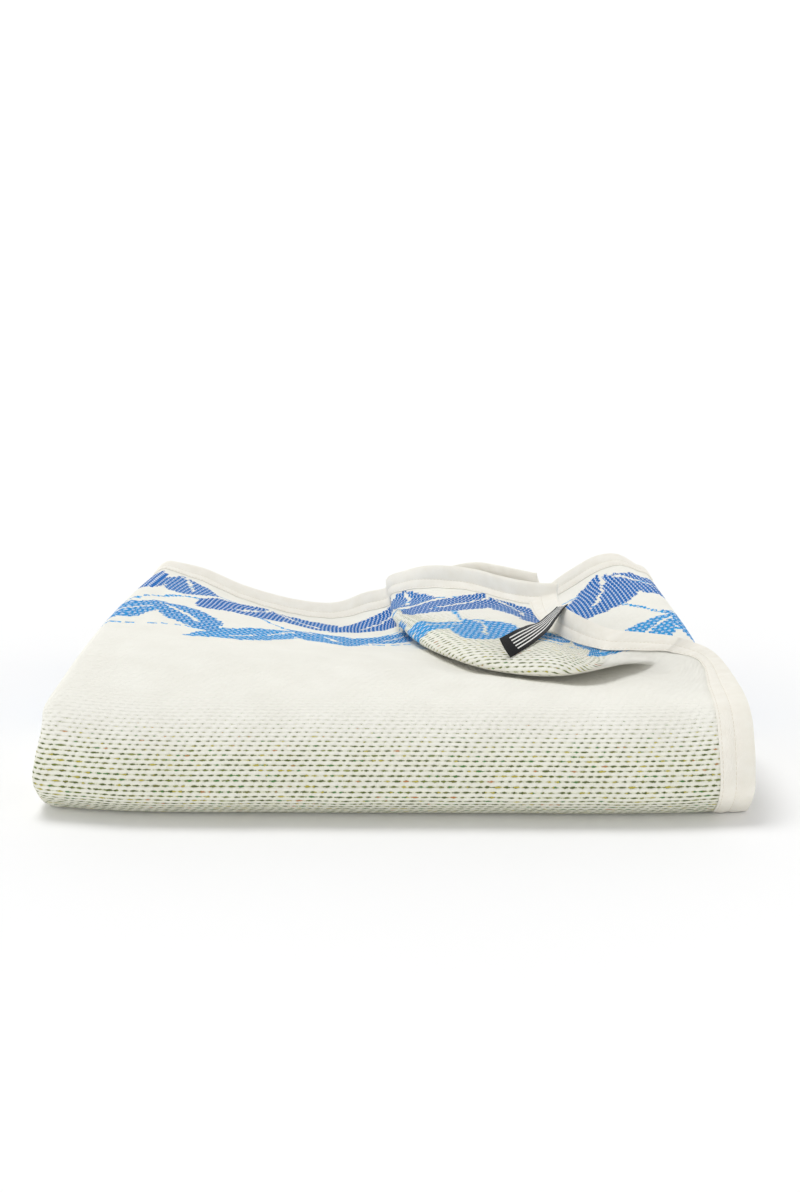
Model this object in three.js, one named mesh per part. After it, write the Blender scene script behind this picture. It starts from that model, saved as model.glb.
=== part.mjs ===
// Beach towel, woven in cotton, bound with twill tape and folded into a low pack.
// Millimetres, +Z up, front of the pack towards -Y, origin on the ground at the middle of the footprint.
//
// The towel is folded in half twice along its length, so four layers lie on each other, and then
// once across its width, with that fold at the front. The two short ends come to rest on top, at the
// right. There the top layer is pushed to the left and forwards, so that it tucks under itself and
// its corner stands up on a rolled flap. The second layer rises behind the flap.
import * as THREE from 'three';

// Cloth, tape and the distance between layers that lie on each other.
const CLOTH_THICKNESS = 1.8;
const TAPE_THICKNESS = 0.5;
const TAPE_WIDTH = 18.5;
const SEWING_GAP = 0.3;
const LAYER_PITCH = 4.2;

// Half thicknesses from the cloth's middle surface: the cloth, the inside and the outside of the tape.
const CLOTH_HALF = CLOTH_THICKNESS / 2;
const TAPE_INSIDE = CLOTH_HALF + SEWING_GAP;
const TAPE_OUTSIDE = TAPE_INSIDE + TAPE_THICKNESS;

// Feature lines of a layer, from its back edge under the pack, round the front, to its back edge on top.
const LINE = {
  lowEdge: -6, sole: -2, chin: -1, nose: 0, brow: 1,
  crest: 2, slope: 3, tuck: 4, roll: 5, cheek: 6, seam: 7, edge: 8,
};
const FRONT_LINES = [LINE.lowEdge, -5, -4, -3, LINE.sole, LINE.chin, LINE.nose, LINE.brow];
const BACK_LINES = [LINE.crest, LINE.slope, LINE.tuck, LINE.roll, LINE.cheek, LINE.seam, LINE.edge];

// Top layer: a row for each station along it, counted from the left fold. A point is x, y, z.
const TOP_LAYER = [
  {
    station: 0,
    nose: [-178, -180, 22], brow: [-177, -156, 51], crest: [-176, -112, 63.5],
    slope: [-177, -60, 66], tuck: [-178, -10, 66.5], roll: [-178, 40, 66.5],
    cheek: [-177, 95, 66], seam: [-176, 158, 64], edge: [-175, 177, 66],
  },
  {
    station: 28,
    nose: [-148, -186, 22], brow: [-148, -159, 50.5], crest: [-148, -108, 62.5],
    slope: [-148, -55, 65], tuck: [-148, 0, 64.5], roll: [-148, 50, 62],
    cheek: [-149, 105, 58.5], seam: [-149, 156, 55], edge: [-150, 174, 61],
  },
  {
    station: 60,
    nose: [-116, -188, 22], brow: [-116, -160, 50], crest: [-116, -105, 62],
    slope: [-117, -50, 63.5], tuck: [-117, 2, 60.5], roll: [-117, 52, 55.5],
    cheek: [-118, 100, 49.5], seam: [-118, 146, 44], edge: [-119, 163, 50.5],
  },
  {
    station: 101,
    nose: [-75, -188, 22], brow: [-75, -160, 50], crest: [-75, -102, 61],
    slope: [-75, -50, 61.5], tuck: [-75, 0, 56], roll: [-75, 45, 48],
    cheek: [-75, 90, 40], seam: [-74, 129, 35.5], edge: [-75, 147, 42.5],
  },
  {
    station: 136,
    nose: [-40, -188, 22], brow: [-40, -160, 50], crest: [-40, -104, 60.5],
    slope: [-40, -55, 60], tuck: [-40, -5, 52.5], roll: [-40, 38, 44.5],
    cheek: [-41, 80, 38], seam: [-43, 120, 35.5], edge: [-45, 138, 43.5],
  },
  {
    station: 160,
    nose: [-16, -188, 22], brow: [-16, -160, 50], crest: [-16, -106, 59.5],
    slope: [-16, -62, 58], tuck: [-16, -15, 51.5], roll: [-17, 28, 45],
    cheek: [-18, 70, 41], seam: [-22, 114, 41], edge: [-25, 133, 52],
  },
  {
    station: 176,
    nose: [0, -188, 22], brow: [0, -160, 50], crest: [0, -108, 59],
    slope: [0, -65, 57], tuck: [0, 0, 50], roll: [0, 45, 45.5],
    cheek: [-3, 80, 43.5], seam: [-7, 110, 46], edge: [-10, 129, 56.5],
  },
  {
    station: 190, folded: 0.3,
    nose: [14, -188, 22], brow: [14, -160, 49.5], crest: [14, -110, 58.5],
    slope: [14, -70, 56], tuck: [13, 30, 47.5], roll: [-6, 50, 53],
    cheek: [-6, 74, 54.5], seam: [-6, 102, 55.5], edge: [-9, 121, 65.5],
  },
  {
    station: 210, folded: 1,
    nose: [34, -188, 22], brow: [34, -160, 49.5], crest: [34, -115, 57.5],
    slope: [34, -80, 53], tuck: [34, -12, 49.2], roll: [6, -14, 56.8],
    cheek: [6, 35, 59.5], seam: [6, 84, 59.5], edge: [5, 108, 73.5],
  },
  {
    station: 245, folded: 1,
    nose: [69, -188, 22], brow: [69, -160, 49.5], crest: [69, -120, 56],
    slope: [69, -90, 52.2], tuck: [69, -50, 51], roll: [34, -77, 58.8],
    cheek: [30, 0, 64], seam: [26, 75, 65], edge: [23, 93, 80],
  },
  {
    station: 280, folded: 1,
    nose: [104, -188, 22], brow: [104, -160, 49.5], crest: [104, -130, 54.5],
    slope: [104, -100, 51.6], tuck: [104, -62, 52], roll: [66, -108, 59.6],
    cheek: [56, -30, 66], seam: [49, 60, 67], edge: [49, 77, 81],
  },
  {
    station: 310, folded: 0.9,
    nose: [134, -187, 22], brow: [134, -160, 49.5], crest: [134, -130, 54],
    slope: [134, -100, 53.5], tuck: [128, -72, 56], roll: [96, -118, 62],
    cheek: [80, -50, 68], seam: [66, 47, 66], edge: [66, 62, 79.5],
  },
  {
    station: 335, folded: 0.2,
    nose: [157, -185, 22], brow: [158, -159, 49.5], crest: [159, -128, 54],
    slope: [157, -102, 55], tuck: [148, -84, 58], roll: [115, -104, 63.5],
    cheek: [92, -50, 66], seam: [80, 35, 65.5], edge: [82, 49, 78.5],
  },
  {
    station: 348,
    nose: [169, -183, 22], brow: [171, -158, 50], crest: [170, -120, 55],
    slope: [164, -92, 57], tuck: [152, -78, 61], roll: [118, -88, 65],
    cheek: [97, -48, 65.5], seam: [90, 32, 66.5], edge: [93, 44, 78],
  },
  {
    station: 366,
    nose: [185, -180, 22], brow: [187, -156, 50], crest: [188, -110, 57],
    slope: [184, -62, 60.5], tuck: [165, -58, 67.5], roll: [124, -72, 73],
    cheek: [102, -38, 79.5], seam: [103, 31, 71], edge: [104, 42, 78],
  },
];
// Turns of the tuck and of the flap's front: their heights, and the way the tuck's crease points.
const TUCK_TURN = 5;
const TUCK_OUTWARD = [0.47, 0.88, 0];
const ROLL_TURN = 2.4;
const ROLL_DROP = 2.16;
const BEFORE_TUCK = 0.2;
const AFTER_LIP = 0.3;
const TURN_LINES = [LINE.tuck - BEFORE_TUCK, LINE.tuck, 4.1, 4.2, 4.4, 4.92, LINE.roll, 5.08];

// Second layer: it lies close under the first up to this station, and past it it has rows of its own.
const SECOND_FREE_FROM = 168;
const SECOND_GAP = 0.2;
const SECOND_NAMES = ['crest', 'slope', 'rest', 'rise', 'seam', 'edge'];
const SECOND_LINES = [LINE.crest, LINE.slope, 4.5, LINE.cheek, LINE.seam, LINE.edge];
const SECOND_LAYER = [
  {
    station: 176,
    crest: [0, -106, 54.6], slope: [0, -60, 52], rest: [0, 0, 45],
    rise: [0, 55, 39.5], seam: [-2, 112, 40], edge: [-4, 131, 47.5],
  },
  {
    station: 210,
    crest: [33, -108, 52.8], slope: [32, -62, 48.6], rest: [30, -10, 44.2],
    rise: [24, 45, 42.5], seam: [16, 96, 55], edge: [13, 117, 66.5],
  },
  {
    station: 245,
    crest: [66, -112, 51], slope: [63, -64, 46.6], rest: [58, -14, 45],
    rise: [50, 34, 49.5], seam: [39, 88, 61], edge: [36, 106, 77],
  },
  {
    station: 280,
    crest: [98, -114, 49.2], slope: [92, -66, 46.6], rest: [82, -20, 46.4],
    rise: [72, 28, 53], seam: [57, 75, 64], edge: [54, 90, 83],
  },
  {
    station: 310,
    crest: [128, -114, 49], slope: [118, -68, 48.2], rest: [104, -28, 49],
    rise: [88, 14, 55.5], seam: [72, 61, 64], edge: [69, 75, 83.5],
  },
  {
    station: 336,
    crest: [155, -112, 49.4], slope: [140, -73, 51], rest: [121, -42, 52.5],
    rise: [99, 4, 57.5], seam: [85, 51, 64.5], edge: [81, 64, 83],
  },
  {
    station: 362,
    crest: [183, -108, 49.6], slope: [165, -76, 54], rest: [140, -50, 56.5],
    rise: [110, 8, 59.5], seam: [97, 46, 67], edge: [91, 59, 81.5],
  },
];
// How far it reaches out behind the first layer, for each of its lines.
const SECOND_OUT = [0, 0, 0, 1.5, 3, 4.5];

// Third layer: its height for each place across, at these depths. Its right side is a tall soft fold.
const THIRD_DEPTHS = [-106, -50, 10, 70, 120, 163, 184];
const THIRD_LAYER = [
  { x: -176, heights: [54, 55, 54.5, 54.5, 54, 52, 53] },
  { x: -116, heights: [53.2, 53.2, 49, 41.5, 34.5, 31, 34] },
  { x: -60, heights: [51.6, 51, 43, 31.5, 24.5, 23, 25] },
  { x: 0, heights: [49.6, 45.5, 38.5, 31.5, 25.5, 23.5, 25.5] },
  { x: 60, heights: [46, 41, 38.5, 36, 32, 29, 30.5] },
  { x: 100, heights: [44.4, 41.5, 41, 41, 38, 34, 38] },
  { x: 128, heights: [44.4, 43.4, 45.5, 47.5, 47.5, 47.5, 58] },
  { x: 150, heights: [44.6, 46.4, 50.5, 54, 57, 61.5, 70] },
  { x: 164, heights: [44.6, 49, 54, 57, 59.5, 65.5, 70.5] },
  { x: 178, heights: [44.6, 51, 57, 59, 60, 61, 62.5] },
];
const LEFT_END = THIRD_LAYER[0].x;
const RIGHT_END = THIRD_LAYER[THIRD_LAYER.length - 1].x;
// Fourth layer: its share of the room between the lower half of the pack and the third layer, and the
// depth from which it reaches out behind the third.
const FOURTH_STEPS_FROM = 5;
const FOURTH_LAYER = [
  { x: -176, share: 0.14 },
  { x: -110, share: 0.42 },
  { x: 90, share: 0.42 },
  { x: 178, share: 0.3 },
];

// Lower half: depths of its lines, from the back edge to the front, and the step of each further layer.
const SOLE_DEPTHS = [178, 110, 30, -60, -150];
const BACK_STEP = 1;
const CHIN = { behindNose: 11, height: 4 };
const SUNK = 3;
// How a layer inside the front fold is set off from the layer outside it, in layer pitches.
const INWARD = { chin: [0, 0.65, 0.8], nose: [0, 1.06, 0], brow: [0, 0.56, -0.9] };
// The lowest layer lies flat, and lifts by the tape's thickness where the tape is near.
const LIFT_FROM = 30;
const LIFT_TO = 20;
const FLAT_UP_TO = -1.2;

// Side folds: how far they bulge, at most, and how long they are against half the distance they join.
const FOLDS = {
  outer: { reach: 14, slender: 1.7, side: -1, steps: 5 },
  right: { reach: 12, slender: 1, side: 1, steps: 4 },
  inner: { reach: 5, slender: 1.05, side: -1, steps: 3 },
};

// Grid lines, by station along each layer and by feature line around it, with insets from the edges.
const BEHIND_TAPE = 11;
const BACK_INSETS = [0, TAPE_WIDTH, TAPE_WIDTH + BEHIND_TAPE];
const SIDE_INSETS = [0, TAPE_WIDTH];
const TOP_STATIONS = [322, 300, 278, 256, 234, 215, 202, 193, 184, 172, 150, 116, 80, 46, 20, 0];
const FOURTH_STATIONS = [0, 60, 116, 200, 300, 354];
const THIRD_STATIONS = [354, 338, 316, 284, 236, 180, 116, 60, 0];
const SECOND_STATIONS = [0, 46, 80, 116, 150, 172, 190, 215, 245, 275, 302];
const MIDDLE_LINES = [
  -3.4, -1.9, -1.3, -0.8, -0.4, 0, 0.5, 1, 1.6, 2.3, 3.1, 3.8,
  4, 4.07, 4.14, 4.2, 4.5, 4.88, 4.95, 5, 5.05, 5.12, 5.45, 5.85, 6.15, 6.45,
];

// Woven label, sewn to the side tape near the corner: it hangs off the flap's edge and turns to the
// front. A row has the middle of the label and the direction across it.
const LABEL_THICKNESS = 1;
const LABEL_WIDTH = 12.5;
const LABEL_STEPS = 4;
const LABEL_ROWS = [
  { middle: [99.8, -34.5, 80.4], across: [0, 1, 0] },
  { middle: [94.8, -38.6, 76.1], across: [-0.03, 0.98, 0.15] },
  { middle: [88, -51, 73.2], across: [-0.1, 0.93, 0.3] },
  { middle: [79, -72, 73.5], across: [-0.15, 0.93, 0.3] },
  { middle: [70.5, -86.5, 73.4], across: [-0.3, 0.75, 0.58] },
  { middle: [61.2, -98.3, 71.2], across: [-0.5, 0.25, 0.83] },
];

// Smooth curve through points at given parameters, for arrays of numbers of one length.
function curveThrough(parameters, points, at) {
  const last = parameters.length - 1;
  let i = 0;
  while (i < last - 1 && at > parameters[i + 1]) i += 1;
  const width = parameters[i + 1] - parameters[i];
  const f = (at - parameters[i]) / width;
  const slope = (n, k) => {
    const before = Math.max(n - 1, 0);
    const after = Math.min(n + 1, last);
    if (before === n || after === n) {
      return (points[after][k] - points[before][k]) / (parameters[after] - parameters[before]);
    }
    const widthIn = parameters[n] - parameters[before];
    const widthOut = parameters[after] - parameters[n];
    const slopeIn = (points[n][k] - points[before][k]) / widthIn;
    const slopeOut = (points[after][k] - points[n][k]) / widthOut;
    return (slopeIn * widthOut + slopeOut * widthIn) / (widthIn + widthOut);
  };
  return points[i].map((value, k) => value * (2 * f ** 3 - 3 * f ** 2 + 1)
    + slope(i, k) * width * (f ** 3 - 2 * f ** 2 + f)
    + points[i + 1][k] * (3 * f ** 2 - 2 * f ** 3)
    + slope(i + 1, k) * width * (f ** 3 - f ** 2));
}

function smoothStep(from, to, value) {
  const f = Math.min(Math.max((value - from) / (to - from), 0), 1);
  return f * f * (3 - 2 * f);
}

const add = (a, b, scale = 1) => a.map((value, k) => value + b[k] * scale);
const distance = (a, b) => Math.hypot(a[0] - b[0], a[1] - b[1], a[2] - b[2]);

// A layer is a net of points: rows at its stations, columns at its lines, and its place in the pack.
function pointOn(layer, station, line) {
  const across = layer.rows.map((row) => curveThrough(layer.lines, row, line));
  const point = curveThrough(layer.stations, across, station);
  if (line < LINE.chin) point[2] = Math.max(point[2], layer.restHeight);
  return point;
}

// Lower half and front of one row of a layer. The sole's points are sunk, so that it comes out flat.
function frontOfRow(order, station) {
  const stations = TOP_LAYER.map((row) => row.station);
  const inward = order * LAYER_PITCH;
  const nose = curveThrough(stations, TOP_LAYER.map((row) => row.nose), station);
  const brow = curveThrough(stations, TOP_LAYER.map((row) => row.brow), station);
  const chin = [nose[0], nose[1] + CHIN.behindNose, CHIN.height];
  const sole = SOLE_DEPTHS.map((depth, k) => {
    const backStep = k === 0 ? order * BACK_STEP : 0;
    return [nose[0], depth + backStep, inward - SUNK];
  });
  return [
    ...sole,
    add(chin, INWARD.chin, inward),
    add(nose, INWARD.nose, inward),
    add(brow, INWARD.brow, inward),
  ];
}

function restHeight(order) {
  return order === 0 ? CLOTH_HALF : TAPE_OUTSIDE + order * LAYER_PITCH;
}

const mix = (a, b, share) => a.map((value, k) => value * (1 - share) + b[k] * share);

// Back part of one row of the top layer. Where the row is folded, the tuck and the flap's front are
// round turns, and elsewhere their points lie straight between the named ones.
function backOfTopRow(index) {
  const row = TOP_LAYER[index];
  const { slope, tuck, roll, cheek } = row;
  const before = TOP_LAYER[Math.max(index - 1, 0)].roll;
  const after = TOP_LAYER[Math.min(index + 1, TOP_LAYER.length - 1)].roll;
  const run = Math.hypot(after[0] - before[0], after[1] - before[1]);
  const inside = [(before[1] - after[1]) / run, (after[0] - before[0]) / run, 0];
  const lip = add(tuck, [0, 0, TUCK_TURN]);
  const crease = add(add(tuck, TUCK_OUTWARD, TUCK_TURN / 2), [0, 0, TUCK_TURN / 2]);
  const low = add(add(roll, inside, ROLL_TURN), [0, 0, -ROLL_DROP]);
  const high = add(add(roll, inside, ROLL_TURN), [0, 0, ROLL_TURN]);
  const folded = [
    mix(tuck, slope, BEFORE_TUCK), tuck, crease, lip,
    mix(lip, low, AFTER_LIP), low, roll, high,
  ];
  const named = [slope, tuck, roll, cheek];
  const plain = TURN_LINES.map((line) => {
    const k = Math.min(Math.floor(line) - LINE.slope, named.length - 2);
    return mix(named[k], named[k + 1], line - LINE.slope - k);
  });
  const turns = plain.map((point, k) => mix(point, folded[k], row.folded ?? 0));
  return [row.crest, slope, ...turns, cheek, row.seam, row.edge];
}


function topLayer() {
  return {
    lines: [...FRONT_LINES, LINE.crest, LINE.slope, ...TURN_LINES, LINE.cheek, LINE.seam, LINE.edge],
    stations: TOP_LAYER.map((row) => row.station),
    rows: TOP_LAYER.map((row, index) => [...frontOfRow(0, row.station), ...backOfTopRow(index)]),
    restHeight: restHeight(0),
  };
}

// Point one pitch under a layer, along the layer's own normal.
function pointUnder(layer, station, line, depth) {
  const step = 0.02;
  const on = Math.min(line, LINE.edge - 2 * step);
  const along = add(pointOn(layer, station + step, on), pointOn(layer, station - step, on), -1);
  const over = add(pointOn(layer, station, on + step), pointOn(layer, station, on - step), -1);
  const normal = new THREE.Vector3(...along).cross(new THREE.Vector3(...over)).normalize();
  return add(pointOn(layer, station, on), normal.toArray(), -depth);
}

function secondLayer(top) {
  const close = TOP_LAYER.filter((row) => row.station < SECOND_FREE_FROM).map((row) => ({
    station: row.station,
    back: SECOND_LINES.map((line, k) => {
      const under = pointUnder(top, row.station, line, LAYER_PITCH + SECOND_GAP);
      return add(under, [0, SECOND_OUT[k], 0]);
    }),
  }));
  const free = SECOND_LAYER.map((row) => ({
    station: row.station,
    back: SECOND_NAMES.map((name) => row[name]),
  }));
  const all = [...close, ...free];
  return {
    lines: [...FRONT_LINES, ...SECOND_LINES],
    stations: all.map((row) => row.station),
    rows: all.map((row) => [...frontOfRow(1, row.station), ...row.back]),
    restHeight: restHeight(1),
  };
}

function thirdLayer() {
  return {
    lines: [...FRONT_LINES, ...BACK_LINES],
    stations: THIRD_LAYER.map((row) => row.x - LEFT_END),
    rows: THIRD_LAYER.map((row) => [
      ...frontOfRow(2, row.x - LEFT_END),
      ...THIRD_DEPTHS.map((depth, k) => [row.x, depth, row.heights[k]]),
    ]),
    restHeight: restHeight(2),
  };
}

function fourthLayer() {
  const floor = restHeight(3);
  const places = FOURTH_LAYER.map((row) => row.x);
  const shareAt = (x) => curveThrough(places, FOURTH_LAYER.map((row) => [row.share]), x)[0];
  return {
    lines: [...FRONT_LINES, ...BACK_LINES],
    stations: THIRD_LAYER.map((row) => row.x - LEFT_END),
    rows: THIRD_LAYER.map((row) => [
      ...frontOfRow(3, row.x - LEFT_END),
      ...THIRD_DEPTHS.map((depth, k) => [
        row.x,
        depth + (k >= FOURTH_STEPS_FROM ? BACK_STEP : 0),
        floor + Math.max(LAYER_PITCH, shareAt(row.x) * (row.heights[k] - floor)),
      ]),
    ]),
    restHeight: floor,
  };
}

// Column of the grid: a function from a line to a point.
const columnAt = (layer, station) => (line) => pointOn(layer, station, line);

// Column at an inset from a layer's side edge, measured along the layer.
function columnInset(layer, inset) {
  const lastStation = layer.stations[layer.stations.length - 1];
  return (line) => {
    let station = lastStation;
    let gone = 0;
    let here = pointOn(layer, station, line);
    const step = 1.5;
    while (gone < inset) {
      const next = pointOn(layer, station - step, line);
      const stride = distance(here, next);
      if (gone + stride >= inset) {
        return pointOn(layer, station - step * ((inset - gone) / stride), line);
      }
      gone += stride;
      station -= step;
      here = next;
    }
    return here;
  };
}

// Columns of a side fold: half ellipses that join two layers' ends.
function foldColumns(fold, startColumn, endColumn) {
  return Array.from({ length: fold.steps }, (_, n) => {
    const angle = (Math.PI * (n + 1)) / (fold.steps + 1);
    return (line) => {
      const start = startColumn(line);
      const end = endColumn(line);
      const reach = Math.min(fold.reach, (fold.slender * distance(start, end)) / 2);
      const middle = add(start, end).map((value) => value / 2);
      const turned = add(middle, add(start, end, -1), Math.cos(angle) / 2);
      return add(turned, [fold.side * reach * Math.sin(angle), 0, 0]);
    };
  });
}

// Points of one column at the grid's lines: the middle ones by feature, the outer ones by inset.
function sampleColumn(column) {
  const step = 0.1;
  const insetLine = (edge, direction, inset) => {
    let line = edge;
    let gone = 0;
    let here = column(edge);
    while (gone < inset) {
      const next = column(line + direction * step);
      const stride = distance(here, next);
      if (gone + stride >= inset) return line + direction * step * ((inset - gone) / stride);
      gone += stride;
      line += direction * step;
      here = next;
    }
    return line;
  };
  const low = BACK_INSETS.map((inset) => insetLine(LINE.lowEdge, 1, inset));
  const high = BACK_INSETS.map((inset) => insetLine(LINE.edge, -1, inset)).reverse();
  return [...low, ...MIDDLE_LINES, ...high].map((line) => column(line));
}

function buildGrid() {
  const top = topLayer();
  const second = secondLayer(top);
  const third = thirdLayer();
  const fourth = fourthLayer();
  const outerStart = columnAt(top, 0);
  const outerEnd = columnAt(fourth, 0);
  const rightSpan = RIGHT_END - LEFT_END;
  const columns = [
    ...SIDE_INSETS.map((inset) => columnInset(top, inset)),
    ...TOP_STATIONS.map((station) => columnAt(top, station)),
    ...foldColumns(FOLDS.outer, outerStart, outerEnd),
    ...FOURTH_STATIONS.map((station) => columnAt(fourth, station)),
    ...foldColumns(FOLDS.right, columnAt(fourth, rightSpan), columnAt(third, rightSpan)),
    ...THIRD_STATIONS.map((station) => columnAt(third, station)),
    ...foldColumns(FOLDS.inner, columnAt(third, 0), columnAt(second, 0)),
    ...SECOND_STATIONS.map((station) => columnAt(second, station)),
    ...SIDE_INSETS.map((inset) => columnInset(second, inset)).reverse(),
  ];
  return columns.map(sampleColumn);
}

// The lowest layer's edges lift, so that the tape under them is level with the cloth's underside.
function liftLowestEdges(grid) {
  const lift = TAPE_OUTSIDE - CLOTH_HALF;
  const sideCount = SIDE_INSETS.length + TOP_STATIONS.length;
  const soleCount = BACK_INSETS.length + MIDDLE_LINES.filter((line) => line < FLAT_UP_TO).length;
  const foldCount = FOLDS.outer.steps;
  for (let i = 0; i < sideCount + foldCount; i += 1) {
    for (let j = 0; j < soleCount; j += 1) {
      const point = grid[i][j];
      const toSide = distance(point, grid[0][j]);
      const toBack = distance(point, grid[i][0]);
      const near = Math.min(i < sideCount ? toSide : Infinity, toBack);
      const fade = i < sideCount ? 1 : 1 - (i - sideCount + 1) / foldCount;
      point[2] += lift * smoothStep(LIFT_FROM, LIFT_TO, near) * fade;
    }
  }
}

// Unit normals of the grid's middle surface, averaged over the cells around each point.
function gridNormals(grid) {
  const normals = grid.map((column) => column.map(() => new THREE.Vector3()));
  for (let i = 0; i < grid.length - 1; i += 1) {
    for (let j = 0; j < grid[0].length - 1; j += 1) {
      const corners = [[i, j], [i + 1, j], [i + 1, j + 1], [i, j + 1]];
      const [a, b, c, d] = corners.map(([m, n]) => new THREE.Vector3(...grid[m][n]));
      const cell = c.clone().sub(a).cross(d.clone().sub(b)).normalize();
      corners.forEach(([m, n]) => normals[m][n].add(cell));
    }
  }
  return normals.map((column) => column.map((normal) => normal.normalize()));
}

// Closed body from vertices and four-cornered faces. Faces are wound so that they point out.
function bodyFromFaces(vertices, faces) {
  const geometry = new THREE.BufferGeometry();
  geometry.setAttribute('position', new THREE.Float32BufferAttribute(vertices.flat(), 3));
  const triangles = faces.flatMap(([a, b, c, d]) => [[a, b, c], [a, c, d]]);
  geometry.setIndex(triangles.filter((corners) => new Set(corners).size === 3).flat());
  geometry.computeVertexNormals();
  return geometry;
}

// Whether a cell of the grid is split along its other diagonal, as it is in two of the corners, where
// the split runs into the corner like the tape's mitre.
function splitsAcross(grid, i, j) {
  return (i === 0 && j === grid[0].length - 2) || (i === grid.length - 2 && j === 0);
}

// Cloth: the grid's two faces, one above and one below the middle surface, closed around the edge.
function clothGeometry(grid, normals) {
  const wide = grid.length;
  const deep = grid[0].length;
  const vertices = [];
  [CLOTH_HALF, -CLOTH_HALF].forEach((offset) => {
    grid.forEach((column, i) => column.forEach((point, j) => {
      vertices.push(add(point, normals[i][j].toArray(), offset));
    }));
  });
  const at = (side, i, j) => side * wide * deep + i * deep + j;
  const faces = [];
  for (let i = 0; i < wide - 1; i += 1) {
    for (let j = 0; j < deep - 1; j += 1) {
      const cell = [[i, j], [i + 1, j], [i + 1, j + 1], [i, j + 1]];
      const corners = splitsAcross(grid, i, j) ? [...cell.slice(1), cell[0]] : cell;
      faces.push(corners.map(([m, n]) => at(0, m, n)));
      faces.push([0, 3, 2, 1].map((n) => at(1, ...corners[n])));
    }
  }
  const rim = perimeter(wide, deep);
  rim.forEach(([i, j], n) => {
    const [k, m] = rim[(n + 1) % rim.length];
    faces.push([at(0, i, j), at(1, i, j), at(1, k, m), at(0, k, m)]);
  });
  return bodyFromFaces(vertices, faces);
}

// Grid positions around the edge, in order, once around.
function perimeter(wide, deep) {
  const rim = [];
  for (let i = 0; i < wide - 1; i += 1) rim.push([i, 0]);
  for (let j = 0; j < deep - 1; j += 1) rim.push([wide - 1, j]);
  for (let i = wide - 1; i > 0; i -= 1) rim.push([i, deep - 1]);
  for (let j = deep - 1; j > 0; j -= 1) rim.push([0, j]);
  return rim;
}

// Tape: a folded strip around the whole edge, clear of the cloth by the sewing gap. Its section goes
// around in eight corners, each at a reach past the edge, or at the inset, and a height on the normal.
function tapeGeometry(grid, normals) {
  const wide = grid.length;
  const deep = grid[0].length;
  const rim = perimeter(wide, deep);
  const section = [
    { reach: SEWING_GAP + TAPE_THICKNESS, height: TAPE_OUTSIDE }, { inner: true, height: TAPE_OUTSIDE },
    { inner: true, height: TAPE_INSIDE }, { reach: SEWING_GAP, height: TAPE_INSIDE },
    { reach: SEWING_GAP, height: -TAPE_INSIDE }, { inner: true, height: -TAPE_INSIDE },
    { inner: true, height: -TAPE_OUTSIDE }, { reach: SEWING_GAP + TAPE_THICKNESS, height: -TAPE_OUTSIDE },
  ];
  const innerOf = ([i, j]) => [
    Math.min(Math.max(i, 1), wide - 2),
    Math.min(Math.max(j, 1), deep - 2),
  ];
  // Out of the edge: level with the cloth there and square to the edge, once for each side it is on.
  const outwardOf = ([i, j]) => {
    const out = new THREE.Vector3();
    const push = (before, after, inside) => {
      const along = new THREE.Vector3(...add(after, before, -1));
      const square = along.cross(normals[i][j]).normalize();
      const inward = new THREE.Vector3(...add(inside, grid[i][j], -1));
      out.addScaledVector(square, -Math.sign(square.dot(inward)));
    };
    const [left, right] = [Math.max(i - 1, 0), Math.min(i + 1, wide - 1)];
    const [low, high] = [Math.max(j - 1, 0), Math.min(j + 1, deep - 1)];
    if (i === 0 || i === wide - 1) push(grid[i][low], grid[i][high], grid[i === 0 ? 1 : i - 1][j]);
    if (j === 0 || j === deep - 1) push(grid[left][j], grid[right][j], grid[i][j === 0 ? 1 : j - 1]);
    return out.toArray();
  };
  const vertices = [];
  const known = new Map();
  const cellOf = (place, k) => (section[k].inner ? innerOf(place) : place);
  const vertexAt = (place, k) => {
    const [i, j] = cellOf(place, k);
    const key = `${i} ${j} ${k}`;
    if (!known.has(key)) {
      const base = section[k].inner ? grid[i][j] : add(grid[i][j], outwardOf(place), section[k].reach);
      known.set(key, vertices.length);
      vertices.push(add(base, normals[i][j].toArray(), section[k].height));
    }
    return known.get(key);
  };
  const faces = rim.flatMap((place, n) => section.map((_, k) => {
    const next = rim[(n + 1) % rim.length];
    const turn = (k + 1) % section.length;
    const corners = [vertexAt(place, k), vertexAt(next, k), vertexAt(next, turn), vertexAt(place, turn)];
    const cells = [cellOf(place, k), cellOf(next, k), cellOf(next, turn), cellOf(place, turn)];
    const flat = section[k].inner !== section[turn].inner;
    const runsUp = Math.abs(cells[0][0] + cells[0][1] - cells[2][0] - cells[2][1]) === 2;
    const lowest = [Math.min(...cells.map((cell) => cell[0])), Math.min(...cells.map((cell) => cell[1]))];
    const turned = flat && runsUp === splitsAcross(grid, ...lowest);
    return turned ? [...corners.slice(1), corners[0]] : corners;
  }));
  return bodyFromFaces(vertices, faces);
}

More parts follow.
